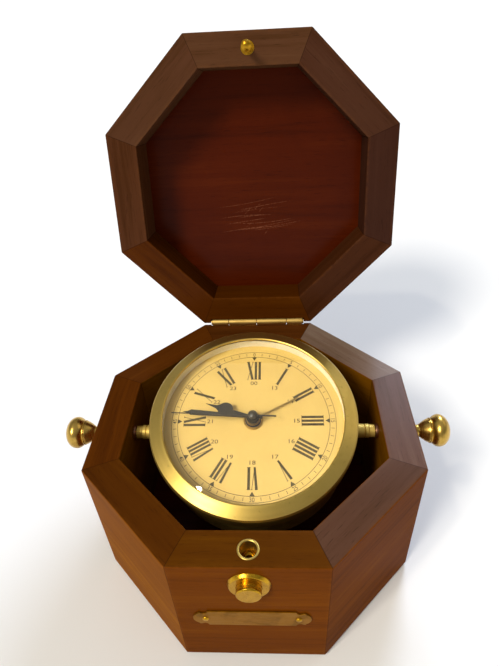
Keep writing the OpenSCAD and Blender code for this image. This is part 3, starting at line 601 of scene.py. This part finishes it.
def glass(name):
    """Clear mineral glass. Lamps reach the dial through it, and faint haze and dust sit on it."""
    g = Graph(name)
    p = g.at()
    haze = g.noise(p, 30, 4, 0.6, 0.5)
    hair = g.noise(g.stretch(p, (40, 3800, 600), turn=(0.1, 0.2, 0.8)), 1, 2)
    r = g.math("ADD", g.remap(haze, 0.45, 0.75, 0.0, 0.03), g.remap(hair, 0.70, 0.74, 0.0, 0.05))
    g.set(Base_Color=(0.985, 0.985, 0.965), Roughness=r, IOR=1.46, Transmission_Weight=1.0)
    clear = g.add("BsdfTransparent", ("Color", (0.96, 0.96, 0.94, 1)))
    lamp = g.add("LightPath", out="Is Shadow Ray")
    both = g.add("MixShader", (0, lamp), (1, g.shader.outputs[0]), (2, clear))
    g.tree.links.new(both, g.out.inputs[0])
    g.bump((hair, 0.02, 0.00002))
    return g.mat


def dial_paint(name):
    """Warm cream dial paint, darkened towards the edge by painted shade of the bezel, with fine grain and age
    mottling.
    """
    g = Graph(name)
    local = g.at()
    centre = HEAD @ Vector((0, 0, DIAL_H * MM))
    away = g.add("VectorMath", (0, local), (1, centre), out="Value", operation="DISTANCE")
    mottle = g.noise(local, 55, 4, 0.6, 0.4)
    grainy = g.noise(local, 3400, 2)
    aged, edge = (tuple(c * f for c, f in zip(DIAL_COLOUR, t)) for t in ((0.95, 0.93, 0.87),
                                                                         (0.92, 0.90, 0.84)))
    colour = g.mix(g.remap(mottle, 0.35, 0.75), DIAL_COLOUR, aged)
    # Painted shade: the bezel's shadow on the dial's margin, darker towards the edge
    colour = g.mix(g.remap(away, 0.030, 0.050, 0.0, 0.3), colour, edge)
    colour = g.mix(g.remap(grainy, 0.62, 0.75, 0.0, 0.12), colour, (0.55, 0.42, 0.2))
    g.set(Base_Color=colour, Roughness=g.remap(mottle, 0.3, 0.7, 0.42, 0.55), Specular_IOR_Level=0.4)
    g.bump((grainy, 0.05, 0.00002))
    return g.mat


def ink(name, base):
    """Printing ink: slightly uneven cover and gloss."""
    g = Graph(name)
    p = g.at()
    cover = g.noise(p, 700, 3)
    g.set(Base_Color=g.mix(g.remap(cover, 0.35, 0.75), base, shade_of(base, 1.7)),
          Roughness=g.remap(cover, 0.3, 0.7, 0.45, 0.62))
    g.bump((cover, 0.1, 0.00001))
    return g.mat


def board_material(name):
    """Circuit board laminate: solder mask with copper tracks showing through, and woven glass."""
    g = Graph(name)
    p = g.at()
    cells = g.add("TexVoronoi", ("Vector", p), ("Scale", 330.0), out="Distance", feature="F1",
                  distance="CHEBYCHEV")
    tracks = g.remap(cells, 0.46, 0.50)
    weave = g.noise(g.stretch(p, (1800, 1800, 400)), 1, 2)
    colour = g.mix(tracks, (0.015, 0.10, 0.035), (0.03, 0.22, 0.08))
    colour = g.mix(g.remap(weave, 0.4, 0.8, 0.0, 0.3), colour, (0.08, 0.16, 0.07))
    g.set(Base_Color=colour, Roughness=g.remap(weave, 0.3, 0.7, 0.25, 0.4), Coat_Weight=0.4,
          Coat_Roughness=0.15)
    g.bump((tracks, 0.3, 0.00005))
    return g.mat


def wound(name, base):
    """Enamelled copper wire, wound side by side."""
    g = Graph(name)
    p = g.at()
    x = g.add("SeparateXYZ", (0, p))
    turns = g.math("ABSOLUTE", g.math("SINE", g.math("MULTIPLY", x, math.pi / 0.00016)))
    streak = g.noise(p, 400, 3)
    g.set(Base_Color=g.mix(g.remap(streak, 0.3, 0.7), base, shade_of(base, 0.6)), Metallic=0.85,
          Roughness=g.remap(streak, 0.3, 0.7, 0.22, 0.38))
    g.bump((turns, 0.6, 0.00006))
    return g.mat


DIAL_COLOUR = srgb(203, 172, 96)
MATERIAL = {
    "wood_stave": wood("mahogany_staves", srgb(79, 37, 1), srgb(93, 46, 2), srgb(105, 56, 3), 0.09),
    "wood_panel": wood("mahogany_panel", srgb(62, 17, 2), srgb(75, 22, 2), srgb(84, 28, 3), 0.12, 0.9,
                       marks=True),
    "felt": felt("green_baize", (0.02, 0.085, 0.045)),
    "brass_polished": metal("brass_polished", (0.58, 0.32, 0.02), (0.30, 0.14, 0.008), 0.28,
                            tarnish_amount=0.6),
    "brass_turned": metal("brass_turned", (0.60, 0.385, 0.085), (0.28, 0.155, 0.02), 0.27, "turned",
                          tarnish_amount=0.65, lines=2600.0),
    "brass_satin": metal("brass_satin", (0.65, 0.45, 0.11), (0.43, 0.27, 0.05), 0.36, "turned",
                         tarnish_amount=0.3, dirt=0.2, lines=5200.0),
    "brass_spacer": metal("brass_spacer", (0.80, 0.56, 0.13), (0.55, 0.36, 0.07), 0.48, "turned",
                          tarnish_amount=0.3, lines=3000.0, bare=0.65),
    "brass_hinge": metal("brass_hinge", (0.78, 0.52, 0.15), (0.46, 0.27, 0.06), 0.42, "brushed",
                         tarnish_amount=0.6),
    "brass_nut": metal("brass_nut", (0.46, 0.29, 0.07), (0.30, 0.18, 0.04), 0.45, "turned",
                       tarnish_amount=0.5),
    "brass_cup": metal("brass_cup", (0.46, 0.33, 0.08), (0.26, 0.18, 0.035), 0.45, "turned",
                       tarnish_amount=0.8, lines=3000.0, bare=0.5),
    "brass_aged": metal("brass_aged", (0.34, 0.15, 0.008), (0.17, 0.075, 0.006), 0.5, "brushed",
                        tarnish_amount=0.8),
    "copper_bush": metal("copper_bush", (0.50, 0.27, 0.16), (0.25, 0.11, 0.06), 0.32, tarnish_amount=0.6),
    "spring_steel": metal("spring_steel", (0.52, 0.52, 0.53), (0.28, 0.25, 0.22), 0.24),
    "iron": metal("lamination_iron", (0.42, 0.43, 0.45), (0.22, 0.19, 0.17), 0.38, "brushed"),
    "reflector": metal("reflector_satin", (0.80, 0.75, 0.58), (0.64, 0.58, 0.42), 0.42, "turned",
                       tarnish_amount=0.3, dirt=0.1, lines=5200.0, bare=0.3),
    "hand_gilt": metal("gilt_hand", (0.50, 0.35, 0.12), (0.30, 0.18, 0.05), 0.34, "brushed"),
    "glass": glass("crystal_glass"),
    "rubber": plastic("black_rubber", (0.018, 0.017, 0.016), 0.75),
    "dial_cream": dial_paint("dial_cream"),
    "black_plastic": plastic("black_moulding", (0.020, 0.020, 0.023), 0.5),
    "white_plastic": plastic("white_acetal", (0.72, 0.70, 0.64), 0.42),
    "red_plastic": plastic("red_moulding", (0.42, 0.025, 0.018), 0.4),
    "battery_wrap": plastic("cell_sleeve", (0.03, 0.075, 0.22), 0.28, speck=0.2, clear=0.6),
    "board": board_material("circuit_laminate"),
    "coil_wire": wound("coil_wire", (0.50, 0.19, 0.07)),
    "hand_black": plastic("hand_black", (0.035, 0.027, 0.014), 0.34, clear=0.3),
    "ink": ink("dial_ink", srgb(62, 50, 14)),
}
OWN_MATERIAL = {"clock_cup": "brass_cup", "centre_nut": "brass_nut"}
for node, ob in nodes.items():
    ob.data.materials.clear()
    ob.data.materials.append(MATERIAL[OWN_MATERIAL.get(node, slot_of[node])])

# ---- camera and light ----

# The photo's own camera, solved from the box's edges
cam_data = bpy.data.cameras.new("camera")
camera = link("camera", cam_data)
bpy.context.scene.camera = camera
cam_data.lens, cam_data.sensor_width = 28.41, 36
cam_data.clip_start, cam_data.clip_end = 0.01, 30
yaw, pitch, roll = math.radians(-4.189), math.radians(-37.465), math.radians(-3.530)
forward = Vector((math.sin(yaw) * math.cos(pitch), math.cos(yaw) * math.cos(pitch), math.sin(pitch)))
right0 = Vector((math.cos(yaw), -math.sin(yaw), 0))
up0 = right0.cross(forward)
right = math.cos(roll) * right0 + math.sin(roll) * up0
up = -math.sin(roll) * right0 + math.cos(roll) * up0
pose = Matrix((right, up, -forward)).transposed().to_4x4()
pose.translation = Vector((14.9, -191.8, 286.0)) * MM
camera.matrix_world = pose

scene = bpy.context.scene
scene.view_settings.view_transform = "Standard"


def sun(name, toward, angle, strength, color):
    """A distant soft box. toward points at the light, and angle is its width in degrees."""
    data = bpy.data.lights.new(name, "SUN")
    data.angle, data.energy, data.color = math.radians(angle), strength, color
    ob = link(name, data)
    ob.rotation_mode = "QUATERNION"
    ob.rotation_quaternion = (-Vector(toward)).to_track_quat("-Z", "Y")


sun("key", (-15.5, -17.0, 22.8), 16, 1.95, (1.0, 0.95, 0.86))
sun("lamp", (-0.409, -0.324, 0.853), 2.6, 0.3, (1.0, 0.93, 0.76))
sun("window", (0.24, 0.76, 0.60), 19, 2.4, (0.68, 0.79, 1.0))
sun("fill", (0.744, 0.339, 0.573), 32, 0.17, (1.0, 0.89, 0.72))

world = bpy.data.worlds.new("studio")
scene.world = world
world.use_nodes = True
sky = world.node_tree


def sky_node(kind, out=0, ins=(), **props):
    """Adds a node to the world's sky and returns one of its outputs."""
    node = sky.nodes.new("ShaderNode" + kind)
    for k, v in props.items():
        setattr(node, k, v)
    for key, value in ins:
        if isinstance(value, bpy.types.NodeSocket):
            sky.links.new(value, node.inputs[key])
        else:
            node.inputs[key].default_value = value
    return node.outputs[out]


# Pale backdrop near the horizon, dimmer sky above it, a little lighter again overhead
where = sky_node("TexCoord")
height = sky_node("SeparateXYZ", 2, [(0, where)])
backdrop = sky_node("MapRange", 0, [(0, height), (1, 0.02), (2, 0.34), (3, 0.95), (4, 0.2)],
                    interpolation_type="SMOOTHSTEP")
shade = sky_node("MapRange", 0, [(0, height), (1, 0.34), (2, 0.9), (3, 0.0), (4, 0.22)])
shade = sky_node("Math", 0, [(0, backdrop), (1, shade)], operation="ADD")
sky.links.new(shade, sky.nodes["Background"].inputs[0])

floor_bm = bmesh.new()
bmesh.ops.create_grid(floor_bm, x_segments=8, y_segments=8, size=6)
floor_mesh = bpy.data.meshes.new("floor")
floor_bm.to_mesh(floor_mesh)
floor_bm.free()
floor = link("floor", floor_mesh)
paper = Graph("pale_floor")
soft = paper.noise(paper.at(), 3, 2)
paper.set(Base_Color=paper.mix(paper.remap(soft, 0.3, 0.7), (0.91, 0.895, 0.865), (0.89, 0.875, 0.845)),
          Roughness=0.9, Specular_IOR_Level=0.1)
floor_mesh.materials.append(paper.mat)

# ---- wood ----

# The upright corners are crisp on the inside and rounded on the outside
corner = lambda a: 0.15 + 0.85 * max(0.0, min(1.0, (a - CAVITY - 2) / (HALF - CAVITY - 4)))
base_profile = fillet([(HALF, FELT_T), (HALF, BASE_TOP), (CAVITY, BASE_TOP), (CAVITY, PANEL_TOP),
                       (REBATE, PANEL_TOP), (REBATE, FELT_T)],
                      [0.7, 0.7, 0.5, 0, 0, 0], support=BEND_SUPPORT)
ring = octagon_loops(base_profile, corner)
# Radii of the holes, and how far the outermost pin's and screw's middles lie in from the end of their head
PIN_HOLE, SCREW_HOLE, BUSHING_HOLE = 0.86, 1.26, 3.66
STUD_HOLE, STUD_SINK = 1.76, 3.66
PIN_HEAD, SCREW_INSET = 1.5, 2.4
PIN_DEEP, SCREW_DEEP, STUD_DEEP, SINK_DEEP = 9.2, 12.2, 13.2, 1.8
knife = bmesh.new()
# Catch: the button's sleeve through the front stave, and the ferrule's hole down into it
tool(knife, (0, 1, 0), (0, -HALF - 2, BUTTON.z), SLEEVE, HALF - CAVITY + 4)
tool(knife, (0, 0, 1), (0, FERRULE.y, BUTTON.z), ferrule_hi.x + 0.05, 30)
# Name plate's pins and the pivots' bushings
plate_z = middle("name_plate").z
pin_x = span("name_plate_pins")[1].x - PIN_HEAD
for sx in (-1, 1):
    tool(knife, (0, 1, 0), (sx * pin_x, -HALF - 1, plate_z), PIN_HOLE, PIN_DEEP, 20)
    tool(knife, (1, 0, 0), (sx * (HALF + CAVITY) / 2 - 12, 0, PIVOT.z / MM), BUSHING_HOLE, 24)
# Hinge: the leaf's recess, the groove round the barrel, and the screws
leaf_lo, leaf_hi = span("hinge_leaf_base")
leaf_front = HALF - 1.5
block(knife, (leaf_lo.x, leaf_front, leaf_lo.z), (leaf_hi.x, HALF + 1, BASE_TOP + 3))
hx = HINGE / MM
groove = leaf_hi.y - hx.y + 0.25
tool(knife, (1, 0, 0), (leaf_lo.x - 1, hx.y, hx.z), groove, leaf_hi.x - leaf_lo.x + 2)
screw_lo, screw_hi = span("hinge_screws_base")
screw_xs = (screw_lo.x + SCREW_INSET, 0, screw_hi.x - SCREW_INSET)
for x in screw_xs:
    tool(knife, (0, -1, 0), (x, HALF + 1, (screw_lo.z + screw_hi.z) / 2), SCREW_HOLE, SCREW_DEEP, 20)
ring = carve(ring, knife)
ring.faces.index_update()
ring.verts.index_update()
staves(ring, {"base_stave_front": [0], "base_stave_back": [4], "base_side_staves": [2, 6],
              "base_corner_staves": [1, 3, 5, 7]}, "base", False)

LID_RIM, LID_TOP = lid_lo.z, lid_hi.z
lid_profile = fillet([(HALF, LID_TOP), (HALF, LID_RIM), (CAVITY, LID_RIM), (CAVITY, lid_panel_lo.z),
                      (REBATE, lid_panel_lo.z), (REBATE, LID_TOP)],
                     [0.8, 0.7, 0.5, 0, 0, 0], support=BEND_SUPPORT)
ring = octagon_loops(lid_profile, corner)
knife = bmesh.new()
tool(knife, (0, 0, 1), (0, FERRULE.y, LID_RIM - 1), STUD_SINK, SINK_DEEP)
tool(knife, (0, 0, 1), (0, FERRULE.y, LID_RIM - 1), STUD_HOLE, STUD_DEEP, 24)
tool(knife, (1, 0, 0), (leaf_lo.x - 1, hx.y, hx.z), groove, leaf_hi.x - leaf_lo.x + 2)
lid_leaf_top = span("hinge_leaf_lid", OPENED)[1].z
block(knife, (leaf_lo.x, leaf_front, hx.z - 1), (leaf_hi.x, HALF + 1, lid_leaf_top))
lid_screw_lo, lid_screw_hi = span("hinge_screws_lid", OPENED)
for x in screw_xs:
    tool(knife, (0, -1, 0), (x, HALF + 1, (lid_screw_lo.z + lid_screw_hi.z) / 2), SCREW_HOLE, SCREW_DEEP, 20)
ring = carve(ring, knife)
ring.faces.index_update()
ring.verts.index_update()
staves(ring, {"lid_end_staves": [0, 4], "lid_side_staves": [2, 6],
              "lid_corner_staves": [1, 3, 5, 7]}, "lid", True)


def panel(node, z0, z1, body, matrix, seed):
    """A solid panel in its rebate, its edges just eased, with a board's grain running across."""
    side = REBATE - 0.05
    prof = [(0, z0), (side - 0.3, z0), (side, z0 + 0.3), (side, z1 - 0.3), (side - 0.3, z1), (0, z1)]
    bm = octagon_loops(prof, lambda a: 0.4)
    grain = [tuple(v.co * MM) for v in bm.verts]
    n = len(grain)
    mesh = piece(node + "_fine", bm, body, MATERIAL["wood_panel"], replaces=(node,), angle=30).data
    store(mesh, grain=grain, seed=[seed] * n, worn=[0.0] * n, tone=[(1.0, 1.0, 1.0)] * n)
    mesh.transform(matrix)


panel("lid_top_panel", lid_panel_lo.z, lid_panel_hi.z, "lid", OPENED, 4.2)
panel("base_bottom_panel", FELT_T, PANEL_TOP, "base", Matrix.Identity(4), 8.8)

# ---- hinge, catch, plate ----

for node, width in (("hinge_leaf_base", 0.08), ("hinge_leaf_lid", 0.08), ("hinge_pin", 0.1)):
    refined(node, width, MATERIAL["brass_hinge"])
refined("catch_stud", 0.0, MATERIAL["brass_polished"])
refined("latch_housing", 0.16)
refined("latch_plunger", 0.12)
# The return spring, given a mesh of its own
spring = refined("latch_spring", 0.0)
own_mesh(spring)
refined("name_plate", 0.16)
refined("name_plate_pins", 0.0)

BORE = 3.7
ferrule = fillet([(BORE, ferrule_lo.z), (ferrule_hi.x, ferrule_lo.z), (ferrule_hi.x, BASE_TOP + 0.05),
                  (ferrule_hi.x - 0.35, ferrule_hi.z), (BORE + 0.35, ferrule_hi.z), (BORE, BASE_TOP - 0.1)],
                 [0, 0, 0.12, 0.12, 0.12, 0.12], steps=3)
piece("catch_ferrule_fine", lathe(ferrule, closed=True), "base", MATERIAL["brass_satin"],
      replaces=("catch_ferrule",), matrix=Matrix.Translation((0, FERRULE.y * MM, 0)))

# ---- pivots and knobs ----

knob_lo, knob_hi = span("knob_right")
foot, end = knob_lo.x, knob_hi.x
BALL_R, BALL_DEEP = 8.5, 5.8
turns = [math.radians(a) for a in range(-44, 91, 4)]
ball = [(BALL_R * math.cos(a), end - BALL_DEEP + BALL_DEEP * math.sin(a)) for a in turns]
knob_profile = fillet([(0, foot), (4.6, foot), (4.6, foot + 0.8), (3.4, foot + 1.2), (3.0, foot + 3.6),
                       (3.2, foot + 4.2), (4.1, foot + 5.4), (5.3, foot + 7.1), (6.0, foot + 8.4),
                       (6.35, foot + 9.15), (6.1, foot + 9.4), (6.65, foot + 9.6), (6.65, foot + 9.95),
                       (6.0, foot + 10.1), (6.0, foot + 10.3)],
                      [0, 0.15, 0.2, 0.5, 1.5, 1.5, 4.0, 6.0, 5.0, 0.15, 0.08, 0.12, 0.12, 0.1, 0],
                      closed=False, steps=5) + ball
knob_profile[-1] = (0.0, end)
for side, node in ((1, "knob_right"), (-1, "knob_left")):
    turn = Matrix.Translation((0, 0, PIVOT.z)) @ Matrix.Rotation(math.radians(90 * side), 4, "Y")
    piece(node + "_fine", lathe(knob_profile), part[node], MATERIAL["brass_turned"], replaces=(node,),
          matrix=turn)

refined("pivot_bushings", 0.2)
NEAR_END, STUD_BORE = 50.1, 2.05
far_end = span("pivot_spacers")[1].x
spacer = fillet([(STUD_BORE, NEAR_END), (3.7, NEAR_END), (3.7, 58.1), (3.3, 58.3), (3.3, 58.5), (3.75, 58.7),
                 (3.75, 60.4), (3.4, 60.9), (3.4, far_end), (STUD_BORE, far_end)],
                [0, 0.25, 0.2, 0.1, 0.1, 0.3, 0.5, 0.3, 0.25, 0], steps=3)
for side, word in ((1, "right"), (-1, "left")):
    turn = HEAD @ Matrix.Rotation(math.radians(90 * side), 4, "Y")
    piece("pivot_spacer_" + word, lathe(spacer, 64, closed=True), "clock_head", MATERIAL["brass_spacer"],
          replaces=("pivot_spacers",), matrix=turn)

# ---- clock head ----

GLASS_R, GLASS_EDGE, GLASS_RISE, GLASS_T = 50.0, DIAL_H + 5.2, 7.0, 1.4
glass_h = lambda r: GLASS_EDGE + GLASS_RISE * (1 - (r / GLASS_R) ** 2)
inner = [(GLASS_R * i / 28, glass_h(GLASS_R * i / 28)) for i in range(29)]
outer = [(r, h + GLASS_T) for r, h in reversed(inner)]
outer[0] = (GLASS_R, outer[0][1] - 0.25)
outer.insert(1, (GLASS_R - 0.25, glass_h(GLASS_R - 0.25) + GLASS_T))
piece("crystal_fine", lathe(inner + outer, 160), "clock_head", MATERIAL["glass"], replaces=("crystal",),
      matrix=HEAD, angle=50, weighted=False)

R_IN, R_OUT = 46.2, span("bezel", HEAD)[1].x
lip = glass_h(R_IN) + GLASS_T + 0.15
bezel_profile = fillet([(R_IN, lip), (R_IN, lip + 0.75), (R_IN + 0.6, lip + 1.1),
                        (R_OUT - 0.75, DIAL_H + 6.15), (R_OUT - 0.05, DIAL_H + 5.35),
                        (R_OUT, DIAL_H + 2.8), (R_OUT - 0.7, DIAL_H + 2.4), (R_OUT - 0.7, DIAL_H - 3.6),
                        (52.0, DIAL_H - 3.6), (52.0, GLASS_EDGE + 0.9),
                        (GLASS_R + 0.4, GLASS_EDGE + GLASS_T + 0.2)],
                       [0.1, 0.3, 0.4, 0.35, 0.35, 0.3, 0.2, 0.2, 0, 0, 0], steps=4)
piece("bezel_fine", lathe(bezel_profile, 200, closed=True), "clock_head", MATERIAL["brass_satin"],
      replaces=("bezel",), matrix=HEAD)

ring_profile = fillet([(R_IN + 0.6, DIAL_H + 0.02), (GLASS_R + 1.5, DIAL_H + 0.02),
                       (GLASS_R + 1.5, GLASS_EDGE - 0.6), (GLASS_R - 2.6, GLASS_EDGE - 0.6)],
                      [0.1, 0, 0, 0.3], steps=3)
piece("reflector_ring_fine", lathe(ring_profile, 160, closed=True), "clock_head", MATERIAL["reflector"],
      replaces=("reflector_ring",), matrix=HEAD)

# ---- dial printing ----


class Print:
    """Flat printing on the dial, as thin outlines in mm on the dial's own plane."""

    def __init__(self):
        self.bm = bmesh.new()

    def poly(self, points):
        self.bm.faces.new([self.bm.verts.new((x, y, 0)) for x, y in points])

    def bar(self, a, b, w0, w1=None):
        a, b = Vector(a), Vector(b)
        n = (b - a).normalized()
        n = Vector((-n.y, n.x))
        w1 = w0 if w1 is None else w1
        self.poly([tuple(a + n * w0 / 2), tuple(a - n * w0 / 2), tuple(b - n * w1 / 2),
                   tuple(b + n * w1 / 2)])

    def circle(self, r, width, n=180):
        turns = [2 * math.pi * k / n for k in range(n)]
        ring = [[self.bm.verts.new((q * math.cos(t), q * math.sin(t), 0)) for t in turns]
                for q in (r - width / 2, r + width / 2)]
        for k in range(n):
            self.bm.faces.new((ring[0][k], ring[1][k], ring[1][(k + 1) % n], ring[0][(k + 1) % n]))

    def place(self, other, matrix):
        mesh = bpy.data.meshes.new("glyph")
        other.to_mesh(mesh)
        mesh.transform(matrix)
        self.bm.from_mesh(mesh)
        bpy.data.meshes.remove(mesh)


def roman(word, height):
    """Outlines of a Roman numeral with thick and thin strokes and serifs, feet at y = 0, centred on x = 0."""
    thick, thin, serif, lip_w = 1.42, 0.32, 0.24, 0.34
    widths = {"I": 2.25, "V": 3.7, "X": 4.3}
    total = sum(widths[c] for c in word)
    pr = Print()
    x = -total / 2
    for c in word:
        w = widths[c]
        mid = x + w / 2
        top = height - serif / 2
        if c == "I":
            pr.bar((mid, 0), (mid, height), thick)
            for y in (serif / 2, top):
                pr.bar((mid - thick / 2 - lip_w, y), (mid + thick / 2 + lip_w, y), serif)
        elif c == "V":
            pr.bar((x + 0.75, height), (mid, 0), thick, thick * 0.8)
            pr.bar((x + w - 0.55, height), (mid, 0), thin)
            pr.bar((x + 0.05, top), (x + 1.5, top), serif)
            pr.bar((x + w - 1.05, top), (x + w - 0.05, top), serif)
        else:
            pr.bar((x + 0.8, height), (x + w - 0.8, 0), thick)
            pr.bar((x + w - 0.65, height), (x + 0.65, 0), thin)
            for y, a, b in ((top, 0.1, 1.6), (top, w - 1.15, w - 0.15), (serif / 2, 0.15, 1.15),
                            (serif / 2, w - 1.6, w - 0.1)):
                pr.bar((x + a, y), (x + b, y), serif)
        x += w
    return pr.bm


def digits(word, size):
    """Small plain numerals from the built-in face, centred on the origin."""
    curve = bpy.data.curves.new("digits", "FONT")
    curve.body, curve.size, curve.align_x, curve.align_y = word, size, "CENTER", "CENTER"
    curve.resolution_u = 3
    curve.offset = 0.003 * size
    ob = link("digits", curve)
    bpy.context.view_layer.update()
    mesh = bpy.data.meshes.new_from_object(ob.evaluated_get(bpy.context.evaluated_depsgraph_get()))
    bm = bmesh.new()
    bm.from_mesh(mesh)
    bpy.data.objects.remove(ob)
    bpy.data.meshes.remove(mesh)
    xs = [v.co.x for v in bm.verts]
    ys = [v.co.y for v in bm.verts]
    bmesh.ops.translate(bm, vec=(-(min(xs) + max(xs)) / 2, -(min(ys) + max(ys)) / 2, 0), verts=bm.verts)
    return bm


printing = Print()
TRACK_IN, TRACK_OUT = 39.4, 42.6
NUMERAL_FOOT, NUMERAL_HIGH, SMALL_AT = 24.9, 11.4, 22.6
NARROWED = {"VIII": 0.86, "VII": 0.9, "XII": 0.92}
printing.circle(TRACK_IN, 0.26)
printing.circle(TRACK_OUT, 0.24)
turn_by = lambda deg: Matrix.Rotation(math.radians(-deg), 4, "Z")
for minute in range(60):
    deg = minute * 6
    m = turn_by(deg)
    if minute % 5:
        tick = Print()
        tick.bar((0, TRACK_IN + 0.75), (0, TRACK_OUT - 0.8), 0.27)
        printing.place(tick.bm, m)
        continue
    wedge = Print()
    wedge.poly([(-1.35, TRACK_IN), (0, TRACK_IN - 2.3), (1.35, TRACK_IN)])
    printing.place(wedge.bm, m)
    upright = Matrix.Rotation(math.pi if 90 < deg < 270 else 0, 4, "Z")
    label = digits(str(minute), 3.2)
    bmesh.ops.scale(label, vec=(0.86, 1, 1), verts=label.verts)
    printing.place(label, m @ Matrix.Translation((0, (TRACK_IN + TRACK_OUT) / 2, 0)) @ upright)
for hour, word in enumerate(("XII", "I", "II", "III", "IIII", "V", "VI", "VII", "VIII", "IX", "X", "XI")):
    glyph = roman(word, NUMERAL_HIGH)
    bmesh.ops.scale(glyph, vec=(NARROWED.get(word, 0.94), 1, 1), verts=glyph.verts)
    printing.place(glyph, turn_by(hour * 30) @ Matrix.Translation((0, NUMERAL_FOOT, 0)))
    small = digits("%02d" % ((hour + 12) % 24 if hour else 0), 3.1)
    bmesh.ops.scale(small, vec=(1.25, 1, 1), verts=small.verts)
    a = math.radians(90 - hour * 30)
    printing.place(small, Matrix.Translation((SMALL_AT * math.cos(a), SMALL_AT * math.sin(a), 0)))
for v in printing.bm.verts:
    v.co.z = 0
print_ob = piece("dial_printing", printing.bm, "clock_head", MATERIAL["ink"],
                 matrix=HEAD @ Matrix.Translation((0, 0, (DIAL_H + 0.04) * MM)), weighted=False)
for p in print_ob.data.polygons:
    p.use_smooth = False
if sum(p.normal.z * p.area for p in print_ob.data.polygons) < 0:
    print_ob.data.flip_normals()

# ---- hands ----

for node in ("second_hand", "minute_hand", "hour_hand", "alarm_hand"):
    refined(node, 0.0)

# ---- update the view layer ----

bpy.context.view_layer.update()
